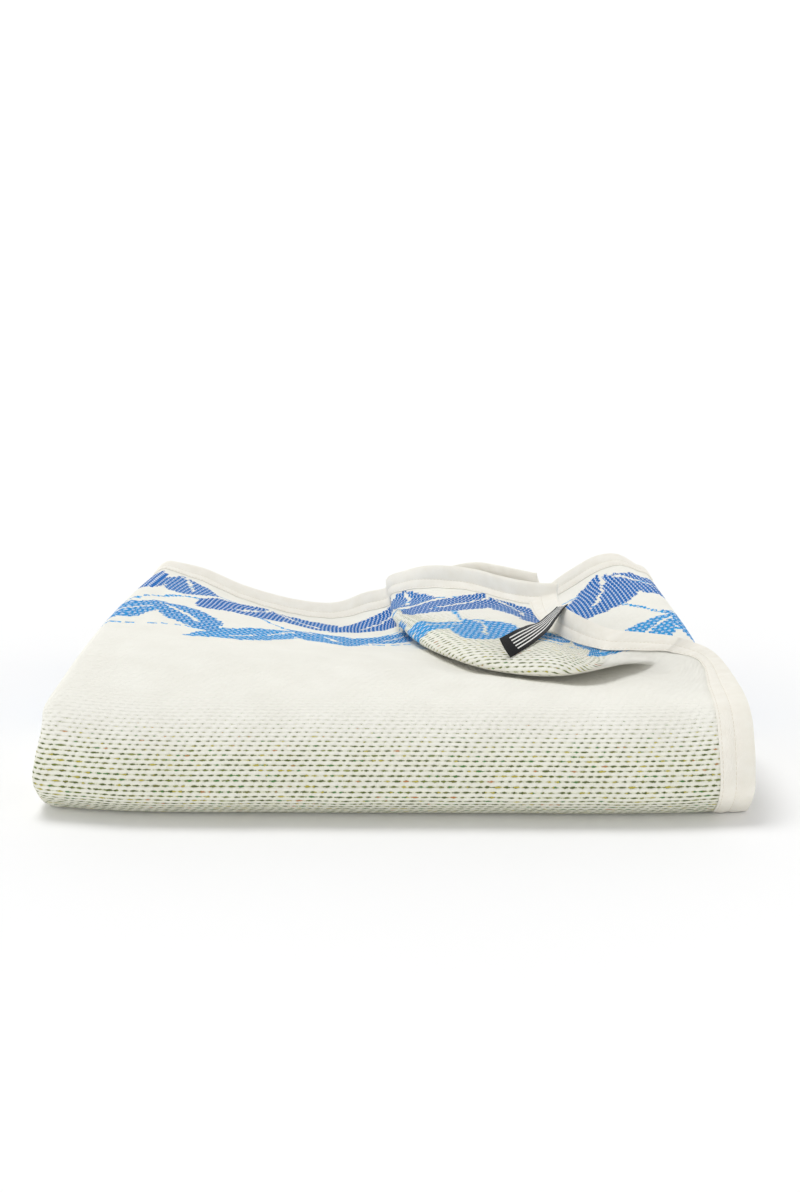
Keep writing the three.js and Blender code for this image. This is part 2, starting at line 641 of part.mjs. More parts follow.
// Label: a strip of rectangular section, swept along its rows.
function labelGeometry() {
  const parameters = LABEL_ROWS.map((_, k) => k);
  const middleAt = (t) => curveThrough(parameters, LABEL_ROWS.map((row) => row.middle), t);
  const acrossAt = (t) => curveThrough(parameters, LABEL_ROWS.map((row) => row.across), t);
  const count = (LABEL_ROWS.length - 1) * LABEL_STEPS;
  const small = 0.01;
  const vertices = Array.from({ length: count + 1 }, (_, n) => n / LABEL_STEPS).flatMap((t) => {
    const along = new THREE.Vector3(...add(middleAt(t + small), middleAt(t - small), -1)).normalize();
    const across = new THREE.Vector3(...acrossAt(t));
    across.addScaledVector(along, -across.dot(along)).setLength(LABEL_WIDTH / 2);
    const up = along.cross(across).setLength(LABEL_THICKNESS / 2).toArray();
    const corners = [[-1, -1], [1, -1], [1, 1], [-1, 1]];
    return corners.map(([side, face]) => add(add(middleAt(t), across.toArray(), side), up, face));
  });
  const faces = [[3, 2, 1, 0], [0, 1, 2, 3].map((k) => count * 4 + k)];
  for (let n = 0; n < count; n += 1) {
    for (let k = 0; k < 4; k += 1) {
      const next = (k + 1) % 4;
      faces.push([n * 4 + k, n * 4 + next, (n + 1) * 4 + next, (n + 1) * 4 + k]);
    }
  }
  return bodyFromFaces(vertices, faces);
}

function namedMesh(name, geometry, color, roughness) {
  const mesh = new THREE.Mesh(geometry, new THREE.MeshStandardMaterial({ color, roughness, metalness: 0 }));
  mesh.name = name;
  return mesh;
}

const grid = buildGrid();
liftLowestEdges(grid);
const normals = gridNormals(grid);
const towel = new THREE.Group();
towel.add(namedMesh('towel_cloth', clothGeometry(grid, normals), 0xe6e6dc, 0.92));
towel.add(namedMesh('edge_tape', tapeGeometry(grid, normals), 0xf0eee4, 0.85));
towel.add(namedMesh('woven_label', labelGeometry(), 0x2a2c2e, 0.8));

// The ground under the middle of the footprint becomes the origin.
const bounds = new THREE.Box3().setFromObject(towel);
const middle = bounds.getCenter(new THREE.Vector3());
towel.position.set(-middle.x, -middle.y, -bounds.min.z);

export default towel;
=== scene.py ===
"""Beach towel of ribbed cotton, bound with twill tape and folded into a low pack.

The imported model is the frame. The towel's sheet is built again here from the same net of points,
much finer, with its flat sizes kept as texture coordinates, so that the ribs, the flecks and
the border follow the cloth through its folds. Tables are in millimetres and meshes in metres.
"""

import logging
from collections.abc import Callable, Mapping, Sequence
from dataclasses import dataclass, field
from enum import Enum
from math import cos, pi, radians, sin, tau
from typing import Any, NamedTuple

import bpy
import numpy as np
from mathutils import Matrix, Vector


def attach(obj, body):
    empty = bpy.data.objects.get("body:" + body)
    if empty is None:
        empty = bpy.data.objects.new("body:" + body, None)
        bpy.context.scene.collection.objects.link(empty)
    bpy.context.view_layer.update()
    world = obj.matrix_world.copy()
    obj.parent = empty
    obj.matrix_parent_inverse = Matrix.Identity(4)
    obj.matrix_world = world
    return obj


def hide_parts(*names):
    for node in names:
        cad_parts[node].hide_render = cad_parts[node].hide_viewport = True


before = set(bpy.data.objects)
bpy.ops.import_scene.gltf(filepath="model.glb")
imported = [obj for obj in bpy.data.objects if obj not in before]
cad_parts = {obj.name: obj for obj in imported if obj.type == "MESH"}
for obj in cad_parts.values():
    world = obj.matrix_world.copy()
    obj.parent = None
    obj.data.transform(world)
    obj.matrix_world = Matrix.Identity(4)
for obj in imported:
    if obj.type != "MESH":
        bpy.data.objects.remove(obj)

LOG = logging.getLogger("beach_towel")
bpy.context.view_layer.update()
BODY = "root"

MM = 0.001
# The net's tables have their own origin. This brings them to the middle of the footprint.
FOOTPRINT_SHIFT = np.array((0.4156, 1.5337, 0.0))

CLOTH_LENGTH = 1520.0
CLOTH_WIDTH = 760.0
CLOTH_THICKNESS = 1.8
CLOTH_HALF = CLOTH_THICKNESS / 2
TAPE_THICKNESS = 0.5
TAPE_WIDTH = 18.5
SEWING_GAP = 0.3
# Heights of the tape's faces over the cloth's middle, and of its inner face where its rim is pressed.
TAPE_INSIDE = CLOTH_HALF + SEWING_GAP
TAPE_OUTSIDE = TAPE_INSIDE + TAPE_THICKNESS
TAPE_INNER_RIM = 0.97
# Rows of the grid under the tape, by their distance from the edge: close where the tape is sewn.
INSETS = (0, 1.6, 3.2, 6.4, 8.6, 9.4, 10, 10.6, 12.4, 14, 15.4, 16.4, 17, 17.6, TAPE_WIDTH)
LAYER_PITCH = 4.2

Point = tuple[float, float, float]
Column = Callable[[np.ndarray], np.ndarray]
UP = np.array((0.0, 0.0, 1.0))


class Line:
    """Feature lines of a layer, from its back edge under the pack, round the front, to the top edge."""

    LOW_EDGE, SOLE, CHIN, NOSE, BROW, CREST, SLOPE = -6.0, -2.0, -1.0, 0.0, 1.0, 2.0, 3.0
    TUCK, ROLL, CHEEK, SEAM, EDGE = 4.0, 5.0, 6.0, 7.0, 8.0


class TopRow(NamedTuple):
    """Points of the top layer at one station along it, counted from the left fold."""

    station: float
    nose: Point
    brow: Point
    crest: Point
    slope: Point
    tuck: Point
    roll: Point
    cheek: Point
    seam: Point
    edge: Point
    folded: float = 0.0


class SecondRow(NamedTuple):
    """Points of the second layer's free part at one station along it."""

    station: float
    crest: Point
    slope: Point
    rest: Point
    rise: Point
    seam: Point
    edge: Point


class ThirdRow(NamedTuple):
    """Heights of the third layer for one place across, at the third layer's depths."""

    x: float
    heights: tuple[float, ...]


class FourthRow(NamedTuple):
    """Share of the room under the third layer that the fourth layer takes, for one place across."""

    x: float
    share: float


# Each row has its points from the nose, at the front, to the edge, and how far the cloth is folded there.
TOP_LAYER = (
    TopRow(0, (-178, -180, 22), (-177, -156, 51), (-176, -112, 63.5), (-177, -60, 66), (-178, -10, 66.5),
           (-178, 40, 66.5), (-177, 95, 66), (-176, 158, 64), (-175, 177, 66)),
    TopRow(28, (-148, -186, 22), (-148, -159, 50.5), (-148, -108, 62.5), (-148, -55, 65), (-148, 0, 64.5),
           (-148, 50, 62), (-149, 105, 58.5), (-149, 156, 55), (-150, 174, 61)),
    TopRow(60, (-116, -188, 22), (-116, -160, 50), (-116, -105, 62), (-117, -50, 63.5), (-117, 2, 60.5),
           (-117, 52, 55.5), (-118, 100, 49.5), (-118, 146, 44), (-119, 163, 50.5)),
    TopRow(101, (-75, -188, 22), (-75, -160, 50), (-75, -102, 61), (-75, -50, 61.5), (-75, 0, 56),
           (-75, 45, 48), (-75, 90, 40), (-74, 129, 35.5), (-75, 147, 42.5)),
    TopRow(136, (-40, -188, 22), (-40, -160, 50), (-40, -104, 60.5), (-40, -55, 60), (-40, -5, 52.5),
           (-40, 38, 44.5), (-41, 80, 38), (-43, 120, 35.5), (-45, 138, 43.5)),
    TopRow(160, (-16, -188, 22), (-16, -160, 50), (-16, -106, 59.5), (-16, -62, 58), (-16, -15, 51.5),
           (-17, 28, 45), (-18, 70, 41), (-22, 114, 41), (-25, 133, 52)),
    TopRow(176, (0, -188, 22), (0, -160, 50), (0, -108, 59), (0, -65, 57), (0, 0, 50), (0, 45, 45.5),
           (-3, 80, 43.5), (-7, 110, 46), (-10, 129, 56.5)),
    TopRow(190, (14, -188, 22), (14, -160, 49.5), (14, -110, 58.5), (14, -70, 56), (13, 30, 47.5),
           (-6, 50, 53), (-6, 74, 54.5), (-6, 102, 55.5), (-9, 121, 65.5), folded=0.3),
    TopRow(210, (34, -188, 22), (34, -160, 49.5), (34, -115, 57.5), (34, -80, 53), (34, -12, 49.2),
           (6, -14, 56.8), (6, 35, 59.5), (6, 84, 59.5), (5, 108, 73.5), folded=1),
    TopRow(245, (69, -188, 22), (69, -160, 49.5), (69, -120, 56), (69, -90, 52.2), (69, -50, 51),
           (34, -77, 58.8), (30, 0, 64), (26, 75, 65), (23, 93, 80), folded=1),
    TopRow(280, (104, -188, 22), (104, -160, 49.5), (104, -130, 54.5), (104, -100, 51.6), (104, -62, 52),
           (66, -108, 59.6), (56, -30, 66), (49, 60, 67), (49, 77, 81), folded=1),
    TopRow(310, (134, -187, 22), (134, -160, 49.5), (134, -130, 54), (134, -100, 53.5), (128, -72, 56),
           (96, -118, 62), (80, -50, 68), (66, 47, 66), (66, 62, 79.5), folded=0.9),
    TopRow(335, (157, -185, 22), (158, -159, 49.5), (159, -128, 54), (157, -102, 55), (148, -84, 58),
           (115, -104, 63.5), (92, -50, 66), (80, 35, 65.5), (82, 49, 78.5), folded=0.2),
    TopRow(348, (169, -183, 22), (171, -158, 50), (170, -120, 55), (164, -92, 57), (152, -78, 61),
           (118, -88, 65), (97, -48, 65.5), (90, 32, 66.5), (93, 44, 78)),
    TopRow(366, (185, -180, 22), (187, -156, 50), (188, -110, 57), (184, -62, 60.5), (165, -58, 67.5),
           (124, -72, 73), (102, -38, 79.5), (103, 31, 71), (104, 42, 78)),
)
# Turns of the tuck and of the flap's front: their heights, the way the tuck's crease points, and lines.
TUCK_TURN = 5.0
TUCK_OUTWARD = (0.47, 0.88, 0.0)
ROLL_TURN = 2.4
ROLL_DROP = 2.16
BEFORE_TUCK = 0.2
AFTER_LIP = 0.3
TURN_LINES = (Line.TUCK - BEFORE_TUCK, Line.TUCK, 4.1, 4.2, 4.4, 4.92, Line.ROLL, 5.08)

# The second layer follows the first up to a station, a gap below it, and reaches out behind it.
SECOND_FREE_FROM = 168
SECOND_GAP = 0.2
SECOND_LINES = (Line.CREST, Line.SLOPE, 4.5, Line.CHEEK, Line.SEAM, Line.EDGE)
SECOND_OUT = (0, 0, 0, 1.5, 3, 4.5)
SECOND_LAYER = (
    SecondRow(176, (0, -106, 54.6), (0, -60, 52), (0, 0, 45), (0, 55, 39.5), (-2, 112, 40),
              (-4, 131, 47.5)),
    SecondRow(210, (33, -108, 52.8), (32, -62, 48.6), (30, -10, 44.2), (24, 45, 42.5), (16, 96, 55),
              (13, 117, 66.5)),
    SecondRow(245, (66, -112, 51), (63, -64, 46.6), (58, -14, 45), (50, 34, 49.5), (39, 88, 61),
              (36, 106, 77)),
    SecondRow(280, (98, -114, 49.2), (92, -66, 46.6), (82, -20, 46.4), (72, 28, 53), (57, 75, 64),
              (54, 90, 83)),
    SecondRow(310, (128, -114, 49), (118, -68, 48.2), (104, -28, 49), (88, 14, 55.5), (72, 61, 64),
              (69, 75, 83.5)),
    SecondRow(336, (155, -112, 49.4), (140, -73, 51), (121, -42, 52.5), (99, 4, 57.5), (85, 51, 64.5),
              (81, 64, 83)),
    SecondRow(362, (183, -108, 49.6), (165, -76, 54), (140, -50, 56.5), (110, 8, 59.5), (97, 46, 67),
              (91, 59, 81.5)),
)

THIRD_DEPTHS = (-106, -50, 10, 70, 120, 163, 184)
THIRD_LAYER = (
    ThirdRow(-176, (54, 55, 54.5, 54.5, 54, 52, 53)),
    ThirdRow(-116, (53.2, 53.2, 49, 41.5, 34.5, 31, 34)),
    ThirdRow(-60, (51.6, 51, 43, 31.5, 24.5, 23, 25)),
    ThirdRow(0, (49.6, 45.5, 38.5, 31.5, 25.5, 23.5, 25.5)),
    ThirdRow(60, (46, 41, 38.5, 36, 32, 29, 30.5)),
    ThirdRow(100, (44.4, 41.5, 41, 41, 38, 34, 38)),
    ThirdRow(128, (44.4, 43.4, 45.5, 47.5, 47.5, 47.5, 58)),
    ThirdRow(150, (44.6, 46.4, 50.5, 54, 57, 61.5, 70)),
    ThirdRow(164, (44.6, 49, 54, 57, 59.5, 65.5, 70.5)),
    ThirdRow(178, (44.6, 51, 57, 59, 60, 61, 62.5)),
)
LEFT_END = THIRD_LAYER[0].x
RIGHT_END = THIRD_LAYER[-1].x
PACK_WIDTH = RIGHT_END - LEFT_END
# The fourth layer reaches out behind the third from its sixth depth on.
FOURTH_STEPS_FROM = 5
FOURTH_LAYER = (FourthRow(-176, 0.14), FourthRow(-110, 0.42), FourthRow(90, 0.42), FourthRow(178, 0.3))

# The lower half of the pack: its depths, and how the layers lie inside each other round the front fold.
SOLE_DEPTHS = (178, 110, 30, -60, -150)
BACK_STEP = 1.0
CHIN_BEHIND_NOSE = 11.0
CHIN_HEIGHT = 4.0
SUNK = 3.0
INWARD_CHIN = np.array((0, 0.65, 0.8))
INWARD_NOSE = np.array((0, 1.06, 0))
INWARD_BROW = np.array((0, 0.56, -0.9))
# Distances from an edge between which the lowest layer is lifted, and the last line that lies flat.
LIFT_FROM = 30.0
LIFT_TO = 20.0
FLAT_UP_TO = -1.2

FRONT_LINES = (Line.LOW_EDGE, -5.0, -4.0, -3.0, Line.SOLE, Line.CHIN, Line.NOSE, Line.BROW)
BACK_LINES = (Line.CREST, Line.SLOPE, Line.TUCK, Line.ROLL, Line.CHEEK, Line.SEAM, Line.EDGE)


class SideFold(NamedTuple):
    """A side fold: its greatest bulge, its slenderness, its side of the pack and its columns."""

    reach: float
    slender: float
    side: int
    steps: int


OUTER_FOLD = SideFold(14, 1.85, -1, 15)
RIGHT_FOLD = SideFold(12, 1, 1, 13)
INNER_FOLD = SideFold(5, 1.05, -1, 7)


class Crease(NamedTuple):
    """A soft trough (negative) or ridge in the top layer, from one place over the pack to another."""

    start: tuple[float, float]
    end: tuple[float, float]
    width: float
    height: float


CREASES = (
    Crease((-132, 128), (-96, 10), 15, -1.1),
    Crease((-70, 118), (-44, -20), 13, 0.8),
    Crease((-164, 60), (-150, -90), 12, -0.7),
    Crease((-28, 66), (40, -96), 12, -0.8),
    Crease((-112, -20), (-20, -104), 18, 0.6),
    Crease((120, -128), (172, -96), 10, -0.9),
)


def curve_slopes(parameters: np.ndarray, values: np.ndarray) -> np.ndarray:
    """Slopes of the smooth curve through values, one for each parameter.

    Args:
        parameters: Growing parameters, one for each value.
        values: Array whose first axis runs along the parameters.

    Returns:
        Array of slopes with the shape of values.
    """
    width = np.diff(parameters).reshape(-1, *([1] * (values.ndim - 1)))
    secant = np.diff(values, axis=0) / width
    slopes = np.empty_like(values)
    slopes[0], slopes[-1] = secant[0], secant[-1]
    slopes[1:-1] = (secant[:-1] * width[1:] + secant[1:] * width[:-1]) / (width[:-1] + width[1:])
    return slopes


def curve_through(parameters: Sequence[float], values: np.ndarray, at: np.ndarray,
                  paired: bool = False) -> np.ndarray:
    """Points of the smooth curve through values.

    Args:
        parameters: Growing parameters, one for each value.
        values: Array whose first axis runs along the parameters.
        at: Parameters to find points at.
        paired: Whether each parameter has its own curve, along the second axis of values.

    Returns:
        Array with a first axis along the parameters asked for.
    """
    known = np.asarray(parameters, float)
    values = np.asarray(values, float)
    at = np.atleast_1d(np.asarray(at, float))
    slopes = curve_slopes(known, values)
    place = np.clip(np.searchsorted(known, at, side="left") - 1, 0, len(known) - 2)
    width = known[place + 1] - known[place]
    share = (at - known[place]) / width
    here = (place, np.arange(len(at))) if paired else (place,)
    after = (place + 1, np.arange(len(at))) if paired else (place + 1,)
    shape = (-1,) + (1,) * (values[here].ndim - 1)
    f, w = share.reshape(shape), width.reshape(shape)
    return (values[here] * (2 * f**3 - 3 * f**2 + 1) + slopes[here] * w * (f**3 - 2 * f**2 + f)
            + values[after] * (3 * f**2 - 2 * f**3) + slopes[after] * w * (f**3 - f**2))


def smooth_step(start: float, end: float, value: np.ndarray) -> np.ndarray:
    """Share from 0 at start to 1 at end, eased at both."""
    share = np.clip((value - start) / (end - start), 0, 1)
    return share * share * (3 - 2 * share)


class Window(NamedTuple):
    """Feature lines over which an effect starts, is full, and ends."""

    start: float
    full_from: float
    full_to: float
    end: float

    def share(self, lines: np.ndarray) -> np.ndarray:
        """Share of the effect at each line."""
        rise = smooth_step(self.start, self.full_from, lines)
        return rise * smooth_step(self.end, self.full_to, lines)


def smoothed(column: np.ndarray, width: float) -> np.ndarray:
    """Points of a column, each averaged with those around it by their distance along the column.

    Args:
        column: Points of the column, in order.
        width: Standard deviation of the average's weights, in millimetres.

    Returns:
        The averaged points.
    """
    step = 0.5
    reach = round(3 * width / step)
    kernel = np.exp(-0.5 * (np.arange(-reach, reach + 1) * step / width) ** 2)
    kernel /= kernel.sum()
    gone = np.concatenate([[0], np.cumsum(np.linalg.norm(np.diff(column, axis=0), axis=1))])
    even = np.arange(0, gone[-1], step)
    runs = [np.pad(np.interp(even, gone, values), reach, mode="edge") for values in column.T]
    return np.stack([np.interp(gone, even, np.convolve(run, kernel, mode="valid")) for run in runs], axis=1)


def mix(a: np.ndarray, b: np.ndarray, share: float) -> np.ndarray:
    """Point between a and b."""
    return np.asarray(a, float) * (1 - share) + np.asarray(b, float) * share


@dataclass(frozen=True)
class Layer:
    """One layer of the folded towel, as a net of points: rows at stations, columns at lines."""

    lines: tuple[float, ...]
    stations: tuple[float, ...]
    rows: np.ndarray
    rest_height: float

    def at(self, stations: np.ndarray, lines: np.ndarray) -> np.ndarray:
        """Points at pairs of a station and a line.

        Args:
            stations: Stations, one for each point.
            lines: Lines, one for each point.

        Returns:
            Array of points, one row each.
        """
        knots = curve_through(self.stations, self.rows, stations)
        points = curve_through(self.lines, knots.swapaxes(0, 1), lines, paired=True)
        under = np.asarray(lines) < Line.CHIN
        points[under, 2] = np.maximum(points[under, 2], self.rest_height)
        return points

    def column(self, station: float) -> Column:
        """Column of the net at a station: a function from lines to points."""
        return lambda lines: self.at(np.full(len(lines), station), lines)

    def stations_at_inset(self, lines: np.ndarray, inset: float) -> np.ndarray:
        """Stations that lie at an inset from the layer's side edge, measured along the layer.

        Args:
            lines: Lines to find a station for.
            inset: Distance from the side edge.

        Returns:
            Array of stations, one for each line.
        """
        step = 1.5
        count = int(inset / step * 2.5) + 8
        stations = self.stations[-1] - step * np.arange(count)
        points = np.stack([self.at(np.full(len(lines), s), lines) for s in stations])
        strides = np.linalg.norm(np.diff(points, axis=0), axis=2)
        gone = np.vstack([np.zeros(len(lines)), np.cumsum(strides, axis=0)])
        return np.array([np.interp(inset, gone[:, k], stations) for k in range(len(lines))])

    def column_inset(self, inset: float) -> Column:
        """Column at an inset from the side edge."""
        return lambda lines: self.at(self.stations_at_inset(lines, inset), lines)

    def column_between(self, inset: float, station: float, share: float) -> Column:
        """Column between the one at an inset and the one at a station."""
        return lambda lines: self.at(
            self.stations_at_inset(lines, inset) * (1 - share) + station * share, lines)


def rest_height(order: int) -> float:
    """Height of a layer's middle surface over the ground, where the layers lie flat."""
    return CLOTH_HALF if order == 0 else TAPE_OUTSIDE + order * LAYER_PITCH


def front_of_row(order: int, station: float) -> list[np.ndarray]:
    """Lower half and front of one row of a layer.

    Args:
        order: The layer's place from the outside, 0 for the top layer.
        station: Place along the layer.

    Returns:
        Points at the front lines, in order.
    """
    stations = [row.station for row in TOP_LAYER]
    nose = curve_through(stations, np.array([row.nose for row in TOP_LAYER]), station)[0]
    brow = curve_through(stations, np.array([row.brow for row in TOP_LAYER]), station)[0]
    chin = np.array((nose[0], nose[1] + CHIN_BEHIND_NOSE, CHIN_HEIGHT))
    inward = order * LAYER_PITCH
    sole = []
    for k, depth in enumerate(SOLE_DEPTHS):
        back_step = order * BACK_STEP if k == 0 else 0
        sole.append(np.array((nose[0], depth + back_step, inward - SUNK)))
    return [*sole, chin + INWARD_CHIN * inward, nose + INWARD_NOSE * inward, brow + INWARD_BROW * inward]


def back_of_top_row(index: int) -> list[np.ndarray]:
    """Back part of one row of the top layer, with the round turns of the tuck and the flap's front.

    Args:
        index: The row's place in the table.

    Returns:
        Points from the crest to the edge.
    """
    row = TOP_LAYER[index]
    slope, tuck, roll, cheek = (np.array(p, float) for p in (row.slope, row.tuck, row.roll, row.cheek))
    before = TOP_LAYER[max(index - 1, 0)].roll
    after = TOP_LAYER[min(index + 1, len(TOP_LAYER) - 1)].roll
    run = np.hypot(after[0] - before[0], after[1] - before[1])
    inside = np.array(((before[1] - after[1]) / run, (after[0] - before[0]) / run, 0))
    lip = tuck + UP * TUCK_TURN
    crease = tuck + np.array(TUCK_OUTWARD) * TUCK_TURN / 2 + UP * TUCK_TURN / 2
    low = roll + inside * ROLL_TURN - UP * ROLL_DROP
    high = roll + inside * ROLL_TURN + UP * ROLL_TURN
    folded = [mix(tuck, slope, BEFORE_TUCK), tuck, crease, lip, mix(lip, low, AFTER_LIP), low, roll, high]
    named = [slope, tuck, roll, cheek]
    turns = []
    for line, bent in zip(TURN_LINES, folded):
        k = min(int(line - Line.SLOPE), len(named) - 2)
        plain = mix(named[k], named[k + 1], line - Line.SLOPE - k)
        turns.append(mix(plain, bent, row.folded))
    return [row.crest, slope, *turns, cheek, row.seam, row.edge]


def top_layer() -> Layer:
    """The top layer, with the tuck and the flap."""
    return Layer(
        lines=(*FRONT_LINES, Line.CREST, Line.SLOPE, *TURN_LINES, Line.CHEEK, Line.SEAM, Line.EDGE),
        stations=tuple(row.station for row in TOP_LAYER),
        rows=np.array([front_of_row(0, row.station) + back_of_top_row(k)
                       for k, row in enumerate(TOP_LAYER)]),
        rest_height=rest_height(0),
    )


def point_under(layer: Layer, station: float, line: float, depth: float) -> np.ndarray:
    """Point under a layer, along the layer's own normal.

    Args:
        layer: The layer above.
        station: Place along it.
        line: Place around it.
        depth: Distance from its middle surface.

    Returns:
        The point.
    """
    step = 0.02
    on = min(line, Line.EDGE - 2 * step)
    stations = np.array((station, station + step, station - step, station, station))
    lines = np.array((on, on, on, on + step, on - step))
    here, ahead, behind, over, under = layer.at(stations, lines)
    normal = np.cross(ahead - behind, over - under)
    return here - normal / np.linalg.norm(normal) * depth


def second_layer(top: Layer) -> Layer:
    """Makes the second layer, close under the first on the left and free on the right.

    Args:
        top: The first layer.

    Returns:
        The layer.
    """
    stations, rows = [], []
    for row in TOP_LAYER:
        if row.station < SECOND_FREE_FROM:
            back = [point_under(top, row.station, line, LAYER_PITCH + SECOND_GAP) + np.array((0, out, 0))
                    for line, out in zip(SECOND_LINES, SECOND_OUT)]
            stations.append(row.station)
            rows.append(front_of_row(1, row.station) + back)
    for row in SECOND_LAYER:
        stations.append(row.station)
        rows.append([*front_of_row(1, row.station), *row[1:]])
    return Layer((*FRONT_LINES, *SECOND_LINES), tuple(stations), np.array(rows), rest_height(1))


def third_layer() -> Layer:
    """Makes the third layer, with the tall soft fold at its right.

    Returns:
        The layer.
    """
    rows = []
    for row in THIRD_LAYER:
        back = [(row.x, depth, height) for depth, height in zip(THIRD_DEPTHS, row.heights)]
        rows.append([*front_of_row(2, row.x - LEFT_END), *back])
    stations = tuple(row.x - LEFT_END for row in THIRD_LAYER)
    return Layer((*FRONT_LINES, *BACK_LINES), stations, np.array(rows), rest_height(2))


def fourth_layer() -> Layer:
    """Makes the fourth layer, between the lower half of the pack and the third.

    Returns:
        The layer.
    """
    floor = rest_height(3)
    shares = np.array([[row.share] for row in FOURTH_LAYER])
    rows = []
    for row in THIRD_LAYER:
        share = curve_through([r.x for r in FOURTH_LAYER], shares, row.x)[0, 0]
        back = []
        for k, (depth, height) in enumerate(zip(THIRD_DEPTHS, row.heights)):
            back_step = BACK_STEP if k >= FOURTH_STEPS_FROM else 0
            back.append((row.x, depth + back_step, floor + max(LAYER_PITCH, share * (height - floor))))
        rows.append([*front_of_row(3, row.x - LEFT_END), *back])
    stations = tuple(row.x - LEFT_END for row in THIRD_LAYER)
    return Layer((*FRONT_LINES, *BACK_LINES), stations, np.array(rows), floor)


def fold_columns(fold: SideFold, start: Column, end: Column) -> list[Column]:
    """Columns of a side fold: half ellipses that join the ends of two layers.

    Args:
        fold: The fold's sizes.
        start: Column that the fold starts from.
        end: Column that it ends at.

    Returns:
        The columns between the two.
    """
    def column(angle: float) -> Column:
        """Column at an angle round the fold."""
        def points(lines: np.ndarray) -> np.ndarray:
            """Points of the column, which bulge less where the layers lie close."""
            first, last = start(lines), end(lines)
            apart = np.linalg.norm(first - last, axis=1)
            reach = (fold.reach**-4.0 + (fold.slender * apart / 2)**-4) ** -0.25
            turned = (first + last) / 2 + (first - last) * cos(angle) / 2
            turned[:, 0] += fold.side * reach * sin(angle)
            return turned
        return points
    return [column(pi * (n + 1) / (fold.steps + 1)) for n in range(fold.steps)]


class Region(Enum):
    """Which part of the folded towel a column of the grid belongs to."""

    TOP = 0
    OUTER_FOLD = 1
    FOURTH = 2
    RIGHT_FOLD = 3
    THIRD = 4
    INNER_FOLD = 5
    SECOND = 6


def spread(start: float, end: float, step: float) -> np.ndarray:
    """Evenly spread values from start up to, but not with, end, about a step apart."""
    count = max(1, round(abs(end - start) / step))
    return np.linspace(start, end, count, endpoint=False)


# How widely the chins and the side edge's turns are rounded, and how near to the edge.
CHIN_ROUNDING = 2.5
CHINS = Window(-3.2, -2.2, -0.7, -0.2)
EDGE_ROUNDING = 6.0
EDGE_TURNS = Window(1.6, 2.6, 5.3, 5.9)
RELAX_FROM = 12.0
RELAX_TO = 25.0
# How widely the flap's roll is rounded, how far it is lifted, and how far the cloth before it drops.
ROLL_ROUNDING = 2.2
ROLL = Window(3.4, 4.0, 5.2, 5.8)
ROLL_LIFT = 0.9
ROLL_UNDERSIDE = Window(4.2, 4.6, 5.1, 5.5)
TUCK_DROP = 0.5
BEFORE_ROLL = Window(3.0, 3.4, 3.7, 3.95)

# Where the top layer is uneven: from its nose up, creased over its upper part, and with waves away from
# its edges, and from the tuck up to a distance along the cloth.
UPPER_FROM = (-0.9, -0.2)
CREASED = Window(1.2, 1.9, 6.3, 6.9)
WAVES_FROM_EDGE = (20, 50)
TUCKED = Window(3.0, 3.6, 5.1, 5.4)
TUCKED_UP_TO = 230
WAVE_HEIGHT = 0.28
RIPPLE_HEIGHT = 0.16
PUCKER_HEIGHT = 0.22
PUCKER_LENGTH = 19
PUCKERS_FROM_EDGE = 17
PUCKERS_SPREAD = 11

# Where the ribs stand apart and how far: everywhere a little, and at the front and on the turned-back
# flap. And where the cloth is pinched, in the flap's roll.
OPEN_ANYWHERE = 0.1
OPEN_FRONT = Window(-3.0, -1.4, 0.3, 1.45)
FRONT_OPENNESS = 0.9
OPEN_FLAP = Window(4.86, 4.96, 5.6, 6.9)
FLAP_OPENNESS = 0.8
FLAP_REACHES = (195, 150)
PINCHED = Window(3.5, 3.9, 5.1, 5.35)

# Lines over which the flat part takes up the width that is left.
SPARE_TAKEN_UP = (1.5, 3.9)

# Lines of the grid between the edges, as spans with their step: finer where the cloth turns.
MIDDLE_SPANS = (
    (-3.4, -1.9, 0.21), (-1.9, -1.2, 0.14), (-1.2, 0.0, 0.06), (0.0, 1.0, 0.06), (1.0, 3.1, 0.105),
    (3.1, 3.8, 0.09), (3.8, 4.3, 0.036), (4.3, 4.85, 0.07), (4.85, 5.15, 0.027), (5.15, 6.45, 0.08),
)
LAST_MIDDLE_LINE = 6.45
BEHIND_TAPE = 11.0
# Stations of each layer's columns, as spans with their step: finer where a layer shows or bends. The
# first and second layers' last columns follow their side edges, with a few between the two ways.
RIGHT_PART = 190
TOP_SIDE_STATION = 322
SECOND_SIDE_STATION = 302
TOP_SPANS = ((TOP_SIDE_STATION, 0, 4.6),)
SECOND_SPANS = ((0, RIGHT_PART, 13), (RIGHT_PART, SECOND_SIDE_STATION, 6))
THIRD_SPANS = ((PACK_WIDTH, RIGHT_PART, 4.8), (RIGHT_PART, 0, 14))
FOURTH_SPANS = ((0, PACK_WIDTH, 14),)
TOP_BETWEEN = (0.17, 0.33, 0.5, 0.67, 0.83)
SECOND_BETWEEN = (0.2, 0.4, 0.6, 0.8)


